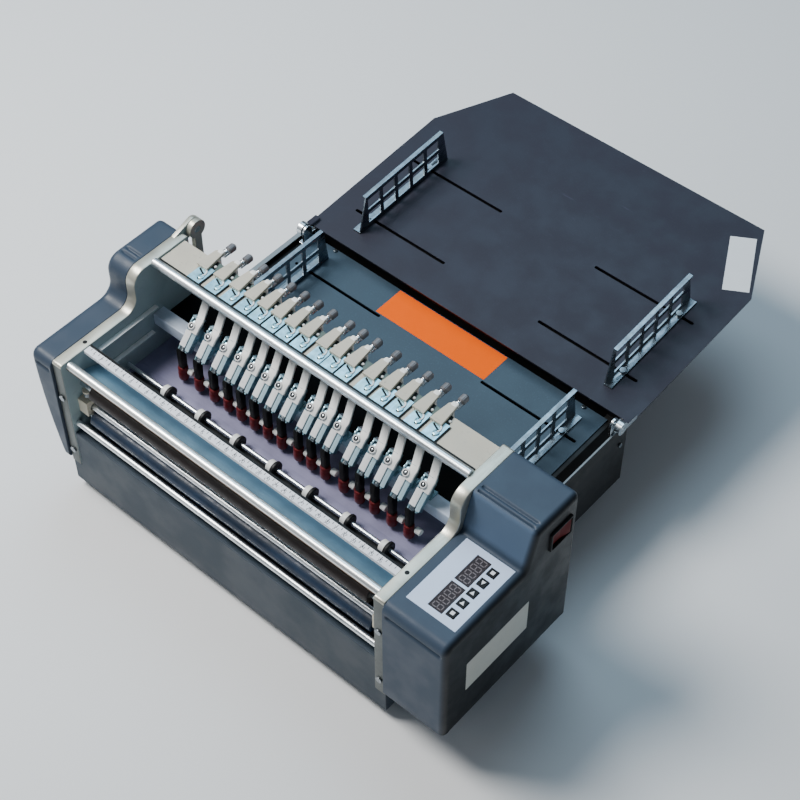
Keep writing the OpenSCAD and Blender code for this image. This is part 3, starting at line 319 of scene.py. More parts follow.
# plate: an outline carried along one axis, its two rims following a quarter circle of radius `edge`
def plate(loop, low, high, edge, axis=0, steps=3):
    loop = turnLeft(np.asarray(loop, float))
    a = np.linspace(0, np.pi / 2, steps + 1)
    insets = edge * (1 - np.sin(a))
    heights = edge * (1 - np.cos(a))
    insets, heights = np.r_[insets, insets[::-1]], np.r_[low + heights, high - heights[::-1]]
    rings = np.stack([np.c_[insetLoop(loop, i), np.full(len(loop), h)] for i, h in zip(insets, heights)])
    order = {0: [2, 0, 1], 1: [0, 2, 1], 2: [0, 1, 2]}[axis]  # outline axes: (y, z), (x, z), (x, y)
    return rings.reshape(-1, 3)[:, order], cappedFaces(len(insets), len(loop))


def leaf(loop, low, high, edge=0.05):  # thin level plate with a plain chamfer
    return plate(loop, low, high, edge, 2, 1)


# turned piece: radius as a function of the place along the axis, carried round it; with flutes the radius
# also dips evenly round the turn
def turned(rings, origin, direction=(1, 0, 0), sides=40, flutes=0, dip=0.0):
    s, r = np.asarray(rings, float).T
    go = np.asarray(direction, float) / np.linalg.norm(direction)
    side = np.cross(go, [0, 0, 1] if abs(go[2]) < 0.9 else [0, 1, 0])
    side /= np.linalg.norm(side)
    third = np.cross(go, side)
    a = np.linspace(0, 2 * np.pi, sides, endpoint=False)
    r = r[:, None] * (1 - dip * (np.cos(flutes * a) > 0.3))
    pts = (np.asarray(origin, float) + s[:, None, None] * go + (r * np.cos(a))[..., None] * side
           + (r * np.sin(a))[..., None] * third)
    return pts.reshape(-1, 3), gridFaces(len(s), sides).tolist()


def barRings(x0, x1, r, edge=0.5):  # plain bar with chamfered, closed ends
    return [(x0, 0), (x0, r - edge), (x0 + edge, r), (x1 - edge, r), (x1, r - edge), (x1, 0)]


# section carried along a path: point = path + a * side + b * (direction x side)
def carried(path, side, section):
    path, side, section = (np.asarray(v, float) for v in (path, side, section))
    go = np.gradient(path, axis=0)
    go /= np.linalg.norm(go, axis=1, keepdims=True)
    side = np.broadcast_to(side, path.shape)
    third = np.cross(go, side)
    pts = path[:, None] + section[None, :, 0:1] * side[:, None] + section[None, :, 1:2] * third[:, None]
    return pts.reshape(-1, 3), cappedFaces(len(path), len(section))


# rounded rectangle about the origin: a quarter circle of radius r round each corner's centre
def roundRect(w, h, r, steps=4):
    a = np.linspace(0, np.pi / 2, steps + 1) + np.arange(4)[:, None] * np.pi / 2
    corner = np.array([[1, 1], [-1, 1], [-1, -1], [1, -1]])[:, None] * [w / 2 - r, h / 2 - r]
    return (corner + r * circle(a)).reshape(-1, 2)


def rect(x0, x1, y0, y1):  # plain rectangle between two places on each axis
    return np.array([[x0, y0], [x1, y0], [x1, y1], [x0, y1]], float)


def arc(cy, cz, r, start, end, steps=8):  # part of a circle, between two angles in degrees
    return [cy, cz] + r * circle(np.radians(np.linspace(start, end, steps + 1)))


# many small boxes at once: eight corners of each, from its centre and half sizes
def boxes(centres, halves):
    signs = np.array([[x, y, z] for z in (-1, 1) for y in (-1, 1) for x in (-1, 1)], float)
    pts = np.asarray(centres, float)[:, None] + signs[None] * np.asarray(halves, float)[:, None]
    quads = np.array([[0, 2, 3, 1], [4, 5, 7, 6], [0, 1, 5, 4], [2, 6, 7, 3], [0, 4, 6, 2], [1, 3, 7, 5]])
    faces = (np.arange(len(pts))[:, None, None] * 8 + quads[None]).reshape(-1, 4)
    return pts.reshape(-1, 3), faces.tolist()


# how a mesh is welded (metres) and from which angle its edges are sharp (degrees): drawn here, or copied from
# a CAD node, whose facets are also joined into flat faces
drawn = {"near": 1e-6, "sharp": 32, "flat": 0}
copied = {"near": 2e-6, "sharp": 30, "flat": 0.6}
rimAngle, upwards, rearwards = 38, (0, 0, 1), (0, 1, 0)


# one piece from parts of (points, faces, finish); its place goes into the mesh
def makePiece(name, parts, body="frame", replaced=(), slot=None, recalc=True):
    points, faces, slots, looks = [], [], [], []
    for pts, fcs, look in parts:
        if look not in looks:
            looks.append(look)
        base = sum(len(p) for p in points)
        points.append(rowFrame(pts))
        faces += [[i + base for i in f] for f in fcs]
        slots += [looks.index(look)] * len(fcs)
    mesh = bpy.data.meshes.new(name)
    mesh.from_pydata(np.concatenate(points).tolist(), [], faces)
    mesh.polygons.foreach_set("material_index", np.array(slots, np.int32))
    for look in looks:
        mesh.materials.append(finishes[look].material)
    return finishPiece(name, mesh, body, replaced, slot, 0.0, recalc, drawn)


def finishPiece(name, mesh, body, replaced, slot, bevel, recalc, weld):
    work = bmesh.new()
    work.from_mesh(mesh)
    bmesh.ops.remove_doubles(work, verts=work.verts, dist=weld["near"])
    if weld["flat"]:
        bmesh.ops.dissolve_limit(work, angle_limit=math.radians(weld["flat"]), verts=work.verts, edges=work.edges)
    if recalc:
        bmesh.ops.recalc_face_normals(work, faces=work.faces)
    work.to_mesh(mesh)
    work.free()
    mesh.shade_smooth()
    mesh.set_sharp_from_angle(angle=math.radians(weld["sharp"]))
    piece = bpy.data.objects.new(name, mesh)
    bpy.context.scene.collection.objects.link(piece)
    if bevel:
        rim = piece.modifiers.new("rim", "BEVEL")
        rim.width, rim.segments, rim.limit_method = bevel / 1000.0, 2, "ANGLE"
        rim.angle_limit, rim.harden_normals = math.radians(rimAngle), True
    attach(piece, body)
    if replaced:
        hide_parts(*replaced)
    if slot or replaced:
        slot or slotOf[replaced[0]]
    return piece


def pieceName(node):
    first, *others = node.split("_")
    return first + "".join(word.capitalize() for word in others)


def nodePiece(node, parts):  # a piece drawn in place of one CAD node
    return makePiece(pieceName(node), parts, bodyOf[node], (node,))


# copy of a CAD node with one finish and its edges eased
def easedCopy(node, look, edge):
    mesh = nodes[node].data.copy()
    mesh.materials.clear()
    mesh.materials.append(finishes[look].material)
    return finishPiece(pieceName(node), mesh, bodyOf[node], (node,), None, edge, False, copied)


# another finish on the faces picked by their middles (mm) and normals
def repaint(piece, look, chosen):
    mesh = piece.data
    mid, out = np.zeros((2, len(mesh.polygons) * 3))
    mesh.polygons.foreach_get("center", mid)
    mesh.polygons.foreach_get("normal", out)
    now = np.zeros(len(mesh.polygons), np.int32)
    mesh.polygons.foreach_get("material_index", now)
    mesh.materials.append(finishes[look].material)
    picked = chosen(mid.reshape(-1, 3) * 1000 + middle, out.reshape(-1, 3))
    mesh.polygons.foreach_set("material_index", np.where(picked, len(mesh.materials) - 1, now).astype(np.int32))


# end covers

# rightStep holds the place of the right cover's step, its foot and head radius and its lean in degrees
stepCover = dict(
    front=-3.0, rear=170.0, foot=44.0, frontR=9.0, rearR=6.0, lowR=4.0, edgeR=6.0, rightOut=271.0, leftOut=229.0,
    wall=3.0, rimIn=6.0, rimEase=0.4, grooves=(115.0, 121.0), grooveDeep=1.9, grooveWide=1.5, grooveEnd=126.0,
    seamZ=168.5, seamDeep=2.0, seamWide=2.0, seamLow=162.0, bellyR=600.0, bellyZ=188.0, bellyTop=168.0,
    spineY=(30.0, 140.0), spineZ=110.0, cutX=(212.6, 261.9), cutY=(18.6, 93.9), cutLead=1.7,
    rightStep=(100.0, 4.0, 6.5, 17.0))
# the rocker's opening, and its bezel as rings of (growth, x, corner radius)
rocker = dict(
    y=145.0, z=193.0, l=26.0, h=20.0, cornerR=0.8, deep=8.0,
    bezel=((0.0, 264.0, 0.9), (0.0, 273.1, 0.9), (0.8, 273.5, 0.9), (3.2, 273.5, 1.6), (4.0, 272.8, 1.6),
        (4.0, 270.8, 1.6)))


# outline of the stepped end, as straight runs and arcs, sampled closely where grooves, seam and panel lie;
# the step's face leans back by `lean` degrees and runs tangent to the arcs at its foot and its head
def coverLoop(c, m, stepY, footR, headR, lean):
    def run(p, q, step):
        n = max(2, int(np.hypot(*np.subtract(q, p)) / step))
        return np.linspace(p, q, n, endpoint=False)[1:]
    f, r, z0, z1, z2 = c["front"], c["rear"], c["foot"], m["lowZ"], m["highZ"]
    frontR, rearR, lowR, seam, groove = c["frontR"], c["rearR"], c["lowR"], c["seamLow"], c["grooveEnd"]
    up, sway = cosSin(lean)
    footEnd = stepY - footR
    rise = z2 - headR - z1 - footR + (headR + footR) * sway
    headEnd = footEnd + (footR + headR) * up + rise * sway / up
    faceLow = (footEnd + footR * up, z1 + footR - footR * sway)
    faceHigh = (headEnd - headR * up, z2 - headR + headR * sway)
    cut, cutEnd = c["cutY"][0], min(c["cutY"][1], footEnd)
    lead = cut - c["cutLead"]
    return np.concatenate([
        arc(f + lowR, z0 + lowR, lowR, 270, 180, 5), run((f, z0 + lowR), (f, seam), 12),
        run((f, seam), (f, z1 - frontR), 0.6), arc(f + frontR, z1 - frontR, frontR, 180, 90, 10),
        run((f + frontR, z1), (lead, z1), 3), [[lead, z1], [cut, z1]],
        run((cut, z1), (cutEnd, z1), 5.0), [[cutEnd - 0.05, z1]],
        arc(footEnd, z1 + footR, footR, 270, 360 - lean, 12), run(faceLow, faceHigh, 3),
        arc(headEnd, z2 - headR, headR, 180 - lean, 90, 16)[:-1],
        run((headEnd - 0.4, z2), (groove, z2), 0.5), run((groove, z2), (r - rearR, z2), 6),
        arc(r - rearR, z2 - rearR, rearR, 90, 0, 8), run((r, z2 - rearR), (r, z0 + lowR), 8),
        arc(r - lowR, z0 + lowR, lowR, 0, -90, 5), run((r - lowR, z0), (f + lowR, z0), 8)])


# inward direction of the outline at each point
def inward(loop):
    go = np.roll(loop, -1, 0) - np.roll(loop, 1, 0)
    go /= np.linalg.norm(go, axis=1, keepdims=True)
    return np.stack([go[:, 1], -go[:, 0]], 1)


# depth of the top grooves and the front seam: sums of bell curves along the outline
def coverDip(loop, c, m):
    y, z = loop.T
    bells = sum(c["grooveDeep"] * np.exp(-((y - g) / c["grooveWide"]) ** 2) for g in c["grooves"])
    seam = c["seamDeep"] * np.exp(-((z - c["seamZ"]) / c["seamWide"]) ** 2)
    return (z > m["highZ"] - 0.5) * bells + (y < c["front"] + 0.5) * seam


# cover shell: the outline carried sideways, with grooves sunk along its inward direction, a return rim at
# the plate and a quarter-circle edge at the outside
def coverShell(c, m, side, step, outerAt, xLines, fadeIn):
    loop = coverLoop(c, m, *step)
    dip, outer = coverDip(loop, c, m), outerAt(loop[:, 1])
    near, flush = np.full_like(outer, m["halfOut"]), np.zeros_like(outer)
    r, wall = np.minimum(c["edgeR"], 0.6 * (outer - near)), np.minimum(c["wall"], 0.5 * (outer - near))
    rows = [(near + c["rimIn"], wall), (near, wall), (near, flush + c["rimEase"]), (near + c["rimEase"], flush)]
    for t in xLines:
        x = near + t * (outer - r - near)
        fade = np.clip((x - near - fadeIn) / 1.5, 0, 1) * np.clip((outer - r + 1.0 - x) / 3.0, 0, 1)
        rows.append((x, dip * fade))
    for a in np.linspace(0, np.pi / 2, 7)[1:]:
        rows.append((outer - r + r * np.sin(a), r * (1 - np.cos(a))))
    x, deep = np.array(rows).transpose(1, 0, 2)[..., None]
    return np.concatenate([side * x, loop + inward(loop) * deep], 2)


# right cover: the shell with openings for the panel and the rocker, and the rocker's bezel of stacked rings
def rightCover(c, m, k):
    (x0, x1), (y0, y1) = c["cutX"], c["cutY"]
    span = c["rightOut"] - c["edgeR"] - m["halfOut"]
    lines = np.r_[3.0, 4.0, 5.0, 7.0, x0 - m["halfOut"], np.linspace(14, 56, 8), x1 - m["halfOut"],
                  np.linspace(60.2, span, 6)]
    pts = coverShell(c, m, 1.0, c["rightStep"], lambda z: np.full_like(z, c["rightOut"]), lines / span, 3.0)
    rows, cols = pts.shape[:2]
    last, flat = (rows - 1) * cols, pts.reshape(-1, 3)
    faces = gridFaces(rows, cols)
    # opening under the panel film, in the outer skin only
    x, y, z = flat[faces].mean(1).T
    hole = (x > x0) & (x < x1) & (y > y0) & (y < y1) & (np.abs(z - m["lowZ"]) < 0.1)
    faces = faces[~(hole & (faces.min(1) >= 4 * cols))].tolist()
    # flat outer side with the rocker's opening, filled between the two outlines, and the opening's walls
    opening = roundRect(k["l"], k["h"], k["cornerR"]) + [k["y"], k["z"]]
    n = len(opening)
    tris = tessellate_polygon([[Vector((*v, 0)) for v in loop] for loop in (flat[last:, 1:], opening[::-1])])
    back = {cols + i: len(flat) + (n - 1 - i) for i in range(n)}
    faces += [[back[i] if i >= cols else i + last for i in t] for t in tris]
    faces += (gridFaces(2, n) + len(flat)).tolist()
    walls = [np.c_[np.full(n, x), opening] for x in (c["rightOut"], c["rightOut"] - k["deep"])]
    nodePiece("right_end_cover", [(np.concatenate([flat, *walls]), faces, "rightCover")])
    bezel = np.concatenate([np.c_[np.full(n, x), roundRect(k["l"] + grow, k["h"] + grow, r) + [k["y"], k["z"]]]
                            for grow, x, r in k["bezel"]])
    makePiece("rockerBezel", [(bezel, gridFaces(len(k["bezel"]), n).tolist(), "blackPlastic")],
              slot="cover_plastic", recalc=False)


# left cover: the shell with a bulged outer side
def leftCover(c, m):
    def outerAt(z):  # upright above, an arc of a large circle below
        swell = math.sqrt(c["bellyR"] ** 2 - (c["bellyZ"] - c["bellyTop"]) ** 2)
        low = c["leftOut"] - swell + np.sqrt(c["bellyR"] ** 2 - (z - c["bellyZ"]) ** 2)
        return np.where(z > c["bellyTop"], c["leftOut"], low)
    step = (m["stepY"], m["footR"], m["headR"], 0.0)
    pts = coverShell(c, m, -1.0, step, outerAt, np.linspace(0.02, 1.0, 14), 2.0)
    # outer side: rings that shrink from the edge to a level line, bulged like the belly
    edge = pts[-1][:, 1:]
    spine = np.stack([np.clip(edge[:, 0], *c["spineY"]), np.full(len(edge), c["spineZ"])], 1)
    shrink = np.linspace(0, 1, 12)[1:, None, None]
    inner = edge * (1 - shrink) + spine * shrink
    pts = np.concatenate([pts, np.concatenate([-outerAt(inner[..., 1])[..., None], inner], 2)])
    nodePiece("left_end_cover", [(pts.reshape(-1, 3), gridFaces(*pts.shape[:2]).tolist(), "coverPlastic")])


rightCover(stepCover, machine, rocker)
leftCover(stepCover, machine)
print("end covers done")

# side plates

# a ledge is (z, from, to) along y
plateLook = dict(
    edge=0.9, cornerR=3.0, dotX=196.0, dotY=36.0, dotR=2.2, ledgeOut=5.0, ledgeH=3.0, lugY=182.0, lugZ=222.0,
    lugR=10.0, lugX=(-202.0, -197.0), pinX=(-202.0, -190.7), pinR=3.5,
    ledges=((171.0, 45.0, 118.0), (142.0, 45.0, 110.0)),
    lugFoot=((158.0, 224.0), (158.0, 212.0)))


# stepped outline: straight runs joined by arcs at the corners, the step's foot and its head
def plateOutline(m, r):
    return np.concatenate([
        [[0.0, m["baseTop"]]], arc(r, m["lowZ"] - r, r, 180, 90, 5),
        arc(m["stepY"] - m["footR"], m["lowZ"] + m["footR"], m["footR"], 270, 360, 14),
        arc(m["stepY"] + m["headR"], m["highZ"] - m["headR"], m["headR"], 180, 90, 14),
        arc(m["plateL"] - r, m["highZ"] - r, r, 90, 0, 5), [[m["plateL"], m["baseTop"]]]])


# side plates: the outline carried across the thickness, with a dot on top and ledges inside
def sidePlates(p, m):
    outline = plateOutline(m, p["cornerR"])
    dot = [(0.05, 0), (0.05, p["dotR"]), (-0.5, p["dotR"])]
    frontTop = m["lowZ"] - p["cornerR"]
    for side, node in ((-1, "left_side_plate"), (1, "right_side_plate")):
        low, high = sorted((side * m["halfIn"], side * m["halfOut"]))
        parts = [(*plate(outline, low, high, p["edge"]), "castPlate"),
                 (*turned(dot, (side * p["dotX"], p["dotY"], m["lowZ"]), upwards, 20), "blackPlastic")]
        low, high = sorted((side * (m["halfIn"] + 1), side * (m["halfIn"] - p["ledgeOut"])))
        for z, y0, y1 in p["ledges"]:  # cast ledges inside
            parts.append((*plate(rect(y0, y1, z - p["ledgeH"], z), low, high, 0.5), "whitePaint"))
        if side < 0:  # lug with the lever's pin
            lug = np.concatenate([arc(p["lugY"], p["lugZ"], p["lugR"], -90, 90, 14), p["lugFoot"]])
            parts.append((*plate(lug, *p["lugX"], 0.6), "castPlate"))
            parts.append((*turned(barRings(*p["pinX"], p["pinR"]), (0, p["lugY"], p["lugZ"])), "brightSteel"))
        piece = nodePiece(node, parts)
        # painted light and shade by facing: the inner faces take a grey-green diffuse paint that stays light in
        # shade, the front faces a darker copy of the cast metal as painted shade
        repaint(piece, "plateSide", lambda at, out: out[:, 0] * side < -0.8)
        repaint(piece, "shadedCastFront", lambda at, out: (out[:, 1] < -0.7) & (at[:, 1] < 2) & (at[:, 2] < frontTop))


sidePlates(plateLook, machine)
easedCopy("release_lever", "castPlate", 0.8)
easedCopy("base_pan", "basePaint", 0.7)
easedCopy("rubber_feet", "blackRubber", 0.8)
print("frame plates done")

# control panel

panelLook = dict(
    top=182.4, winX=229.0, winY=(23.3, 57.3), winL=31.0, winW=15.0, digitH=9.6, digitW=4.7, digitPitch=7.3,
    bar=0.85, keyX=250.4, keyY=29.6, keyPitch=13.0, keyTop=183.1, square=3.6, squareR=0.3,
    arrow=((-1.9, -2.1), (2.1, 0.0), (-1.9, 2.1)))
digitBars = {"0": "abcdef", "1": "bc", "2": "abged", "3": "abgcd", "4": "fgbc", "5": "afgcd", "6": "afgedc",
             "7": "abc", "8": "abcdefg", "9": "abcdfg"}
inkT = 0.06


# seven-bar figures: centres and half sizes of the bars of a row of digits, in a frame with x right and y up
def figureBars(word, w, h, pitch, bar):
    place = {"a": (0, h / 2, 1), "g": (0, 0, 1), "d": (0, -h / 2, 1), "b": (w / 2, h / 4, 0),
             "c": (w / 2, -h / 4, 0), "f": (-w / 2, h / 4, 0), "e": (-w / 2, -h / 4, 0)}
    rows = [(k * pitch + place[s][0], *place[s][1:]) for k, d in enumerate(word) for s in digitBars[d]]
    x, y, flat = np.array(rows).T
    half = np.where(flat[:, None] > 0, [[w / 2 - bar * 0.6, bar / 2]], [[bar / 2, h / 4 - bar * 0.6]])
    return x, y, *half.T


# printed marks: flat boxes at one height, from their centres and half sizes in x and y
def printed(x, y, halfX, halfY, z, look):
    centres, halves = np.broadcast_arrays(x, y, z), np.broadcast_arrays(halfX, halfY, inkT + 0 * x)
    return (*boxes(np.stack(centres, 1), np.stack(halves, 1)), look)


def controlPanel(p):
    easedCopy("control_panel", "panelFilm", 0.25)
    easedCopy("display_windows", "smokedWindow", 0.15)
    along, up, halfAlong, halfUp = figureBars("8888", p["digitW"], p["digitH"], p["digitPitch"], p["bar"])
    start = (p["winL"] - 3 * p["digitPitch"]) / 2
    figures = [printed(p["winX"] + p["winW"] / 2 - up, y0 + start + along, halfUp, halfAlong, p["top"] + 0.03,
                       "printGrey") for y0 in p["winY"]]
    makePiece("displayFigures", figures, slot="display", recalc=False)
    square, arrow = roundRect(p["square"], p["square"], p["squareR"]), np.array(p["arrow"])
    for k in range(5):
        easedCopy(f"key_{k + 1}", "blackPlastic", 0.5)
        icon = square if k in (0, 4) else arrow * ([-1, 1] if k > 2 else [1, 1])
        mark = np.stack([p["keyX"] - icon[:, 1], p["keyY"] + p["keyPitch"] * k + icon[:, 0]], 1)
        makePiece(f"keyMark{k + 1}", [(*leaf(mark, p["keyTop"] - 0.05, p["keyTop"] + 0.08, 0.04), "printWhite")],
                  f"key_{k + 1}", slot="key_black")
    easedCopy("power_rocker", "redRocker", 0.8)


controlPanel(panelLook)
print("control panel done")

# beam, rods and sheet path

for node, look, edge in (("knife_beam", "ivoryPaint", 0.6), ("platen", "platenSteel", 0.4),
                         ("bearing_blocks", "ivoryPlastic", 0.7), ("plate_screws", "screwSteel", 0.5),
                         ("feed_motor", "blackPaint", 0.8)):
    easedCopy(node, look, edge)

sheetPath = dict(
    lipX=186.5, lipY=(82.2, 89.5), lipT=1.0,
    strip=((16.0, 160.0), (16.0, 161.5), (30.0, 156.5), (47.0, 150.5), (47.0, 149.0), (30.0, 155.0)))


def platenLipAndStrip(s, m):
    lip = rect(-s["lipX"], s["lipX"], *s["lipY"])
    makePiece("platenLip", [(*plate(lip, m["sheetZ"] - s["lipT"], m["sheetZ"], 0.2, 2), "platenSteel")],
              slot="platen_steel")
    nodePiece("guide_strip", [(*plate(s["strip"], -m["halfIn"], m["halfIn"], 0.3), "stripSteel")])


platenLipAndStrip(sheetPath, machine)

# radius, y, z, end and finish of each rod
rods = {"knife_rail": (4.5, 124.5, 223.0, 190.0, "chromeRod"), "tie_tube": (4.4, 10.0, 176.0, 190.0, "tubeChrome"),
        "front_rod": (3.2, 6.8, 97.6, 190.0, "chromeRod"), "exit_rod": (3.2, 19.5, 118.55, 189.7, "chromeRod")}
for node, (r, y, z, end, look) in rods.items():
    nodePiece(node, [(*turned(barRings(-end, end, r), (0, y, z), sides=56), look)])

# y, z and rings of each roller, a ring being (from, to, radius, finish) along x
pinch = dict(
    first=-133.5, pitch=45.5, count=7,
    rings=((-1, 3, 7.7, "blackRubber"), (-7, 0, 6.2, "whiteNut")))
pinchX = pinch["first"] + pinch["pitch"] * np.arange(pinch["count"])
pulley = (204, 213, 11.0, "blackPlastic")
rollers = {
    "exit_roller": (19.5, 104.75, [(-176, 176, 9.5, "blueRubber"), (-205, 213, 4.0, "brightSteel"), pulley]),
    "press_roller": (20.0, 144.0, [(-172, 172, 9.0, "brownRubber"), (-202, 202, 3.0, "brightSteel")]),
    "feed_roller": (75.5, 102.0, [(-184, 184, 12.0, "blackRubber"), (-205, 238, 5.0, "brightSteel"), pulley]),
    "pinch_shaft": (75.5, 122.0, [(-202, 202, 2.3, "chromeRod")]
                    + [(x + x0, x + x1, r, look) for x0, x1, r, look in pinch["rings"] for x in pinchX]),
}
for node, (y, z, rings) in rollers.items():
    nodePiece(node, [(*turned(barRings(x0, x1, r, 0.8), (0, y, z), sides=48), look) for x0, x1, r, look in rings])

rulerLook = dict(
    y0=28.5, y1=36.0, rear=38.5, top=181.0, figureH=3.4, figureW=1.7, pitch=2.5, bar=0.5,
    tickX=(-185.0, 185.1, 5.0), tick=0.28, long=1.9, short=1.2, tickIn=0.7, figureX=-180.0, figureY=2.7,
    figures=36, step=10)


def ruler(r):
    easedCopy("ruler_bar", "rulerWhite", 0.5)
    x = np.arange(*r["tickX"])
    depth = np.where(np.isclose(x % r["step"], 0), r["long"], r["short"])
    parts = [printed(x, r["y1"] - r["tickIn"] - depth, r["tick"], depth, r["top"], "printInk")]
    for k in range(r["figures"]):
        word = str(k + 1)
        x, y, halfX, halfY = figureBars(word, r["figureW"], r["figureH"], r["pitch"], r["bar"])
        x = x + r["figureX"] + r["step"] * k - r["pitch"] * (len(word) - 1) / 2
        parts.append(printed(x, r["y0"] + r["figureY"] + y, halfX, halfY, r["top"], "printInk"))
    ends = (np.array(nodes["ruler_bar"].bound_box)[:, 0] * 1000 + middle[0])[[0, 6]]
    dark = rect(*ends, r["y1"], r["rear"])
    parts.append((*leaf(dark, r["top"] - 0.4, r["top"] + 0.1, 0.04), "blackPlastic"))
    makePiece("rulerScale", parts, slot="ruler_white", recalc=False)


ruler(rulerLook)
print("rods and sheet path done")

# knife units

# rings are (place along the axis, radius)
knifeLook = dict(
    pivot=(121.0, 179.0), armTilt=48.0, aside=4.5, strapTilt=25.0, strapX=4.6, strapW=8.4, strapT=3.0,
    strapMid=6.4, nose=7.0, eyeTilt=37.0, eyeX=0.4, eyeS=-3.0, eyeT=7.6, bladeY=101.0, holderW=6.0, nutX=6.0,
    nutY=2.0, nutZ=130.5, stud=(2.5, 6.6, 1.5),
    holder=((-3.2, 128.6), (3.4, 128.6), (4.5, 157.0), (3.0, 160.0), (-1.0, 160.4), (-3.2, 157.0)),
    cap=((116.5, 0), (116.5, 2.4), (117.2, 3.6), (118.8, 4.7), (120.5, 5.2), (126.0, 5.3), (128.0, 4.9),
        (129.0, 4.6), (129.3, 5.0), (134.0, 4.9), (134.8, 4.5), (134.8, 0)),
    blade=((114.4, 0), (114.4, 0.2), (116.5, 1.0), (116.6, 0)),
    nut=((0.3, 0), (0.3, 3.0), (0.7, 3.4), (6.0, 3.4), (6.4, 3.0), (6.4, 1.6), (5.8, 1.5), (5.8, 0)))
# plates of one arm: outline along and across it, from and to in x, edge and finish
cheek = np.concatenate([[[-28.0, -5.0], [-28.0, 5.0]], arc(3.0, 0, 5.0, 90, -90, 12)])
armPlates = (
    (cheek, -5.5, -3.5, 0.45, "zincArm"), (cheek, 3.5, 5.5, 0.45, "zincArm"),
    (rect(-24.0, -7.4, 2.6, 5.2), -5.5, 1.4, 0.5, "whiteZinc"),
    (rect(-26.0, -3.0, 3.9, 5.2), 2.6, 7.2, 0.35, "paleZinc"),
    (((-28.6, 1.6), (-23.4, 1.6), (-23.4, 4.6), (-28.6, 4.0)), -5.3, 1.2, 0.5, "screwSteel"),
    (rect(5.6, 7.6, -1.0, 5.4), -5.2, 5.2, 0.4, "zincArm"))
# eye at the strap's lower end: bright collar, dark groove, pale core
eyeRings = ((((0, 3.6), (1.0, 3.6), (1.4, 3.2), (1.4, 2.5), (0.5, 2.4)), "whiteZinc"),
            (((0.55, 2.5), (0.55, 1.2)), "blackPlastic"),
            (((0.5, 1.3), (1.1, 1.2), (1.3, 0.8), (1.3, 0)), "brightSteel"))
pressLook = dict(
    x=-12.5, z=217.5, beamY=164.0, nutR=3.2, nutL=2.5, shaftR=1.5, knobY=183.0, knobL=9.0, knobR=4.0, forkY=168.0,
    forkT=2.5, forkTop=223.0, forkSlot=4.4, slotZ=215.4, springR=3.1, springY=(175.2, 182.7), turns=4.0, wire=0.5)


# point of an arm in (y, z): s along a line tilted through the pivot, t across it
def atPivot(p, tilt, s, t):
    (y, z), (along, up) = p["pivot"], cosSin(tilt)
    return [y + s * along - t * up, z + s * up + t * along]


def strapZ(p, y, t):  # height of the strap's straight run at a place y
    a = math.radians(p["strapTilt"])
    return p["pivot"][1] + (y - p["pivot"][0]) * math.tan(a) + t / math.cos(a)


# strap: a rounded flat section carried over the pivot and straight up to the fork, slanting aside
def strap(x, p, q):
    t, tilt, rest = p["strapMid"], p["armTilt"], p["strapTilt"]
    bend = np.array([atPivot(p, tilt, -p["nose"], t), atPivot(p, tilt, -2.0, t),
                     atPivot(p, 0.5 * (tilt + rest), 0, t), atPivot(p, rest, 2.0, t)])
    rise = np.linspace(bend[-1][0], q["forkY"] + 1.2, 12)[1:]
    run = np.r_[bend, np.stack([rise, strapZ(p, rise, t)], 1)]
    share = np.clip((run[:, 0] - p["pivot"][0]) / (q["forkY"] - p["pivot"][0]), 0, 1)
    path = np.c_[x + p["strapX"] + share * (q["x"] - p["strapX"] - p["aside"]), run]
    return carried(path, [1.0, 0, 0], roundRect(p["strapW"], p["strapT"], 0.6, 3))


# one knife: plates and strap of its arm, fork, holder with cap and blade, and a fluted side nut
def knifeUnit(k, x, p, q):
    def onArm(points):
        return np.array([atPivot(p, p["armTilt"], s, t) for s, t in points])
    armX = x + p["aside"]
    parts = [(*plate(onArm(loop), armX + x0, armX + x1, edge), look) for loop, x0, x1, edge, look in armPlates]
    parts.append((*strap(armX, p, q), "whitePaint"))
    along, up = cosSin(p["eyeTilt"])
    eye = (armX + p["eyeX"], *atPivot(p, p["eyeTilt"], p["eyeS"], p["eyeT"]))
    parts += [(*turned(rings, eye, (0, -up, along), 20), look) for rings, look in eyeRings]
    # upright fork round the pressure screw
    w, g, top = p["strapW"] / 2, q["forkSlot"] / 2, q["forkTop"]
    low = strapZ(p, q["forkY"], p["strapMid"] - 1.5)
    fork = np.array([[-w, low], [w, low], [w, top], [g, top],
                     [g, q["slotZ"]], [-g, q["slotZ"]], [-g, top], [-w, top]])
    parts.append((*plate(fork + [x + q["x"], 0], q["forkY"], q["forkY"] + q["forkT"], 0.35, 1), "whitePaint"))
    # holder, cap, blade, stud and side nut
    y, side = p["bladeY"], p["holderW"] / 2
    nutY, nutZ = y + p["nutY"], p["nutZ"]
    parts += [(*plate(np.array(p["holder"]) + [y, 0], x - side, x + side, 0.8), "blackPlastic"),
              (*turned(p["cap"], (x, y, 0), upwards, 24), "redCap"),
              (*turned(p["blade"], (x, y, 0), upwards, 12), "brightSteel"),
              (*turned(barRings(*p["stud"], 0.2), (x, nutY, nutZ), sides=16), "brightSteel"),
              (*turned(p["nut"], (x + p["nutX"], nutY, nutZ), sides=24, flutes=8, dip=0.06), "whiteNut")]
    nodePiece(f"knife_{k:02d}", parts)


for k, x in enumerate(knifeX, 1):
    knifeUnit(k, x, knifeLook, pressLook)
print("knife units done:", len(knifeX))

# hook plates, tabs, pressure screws and springs on the beam

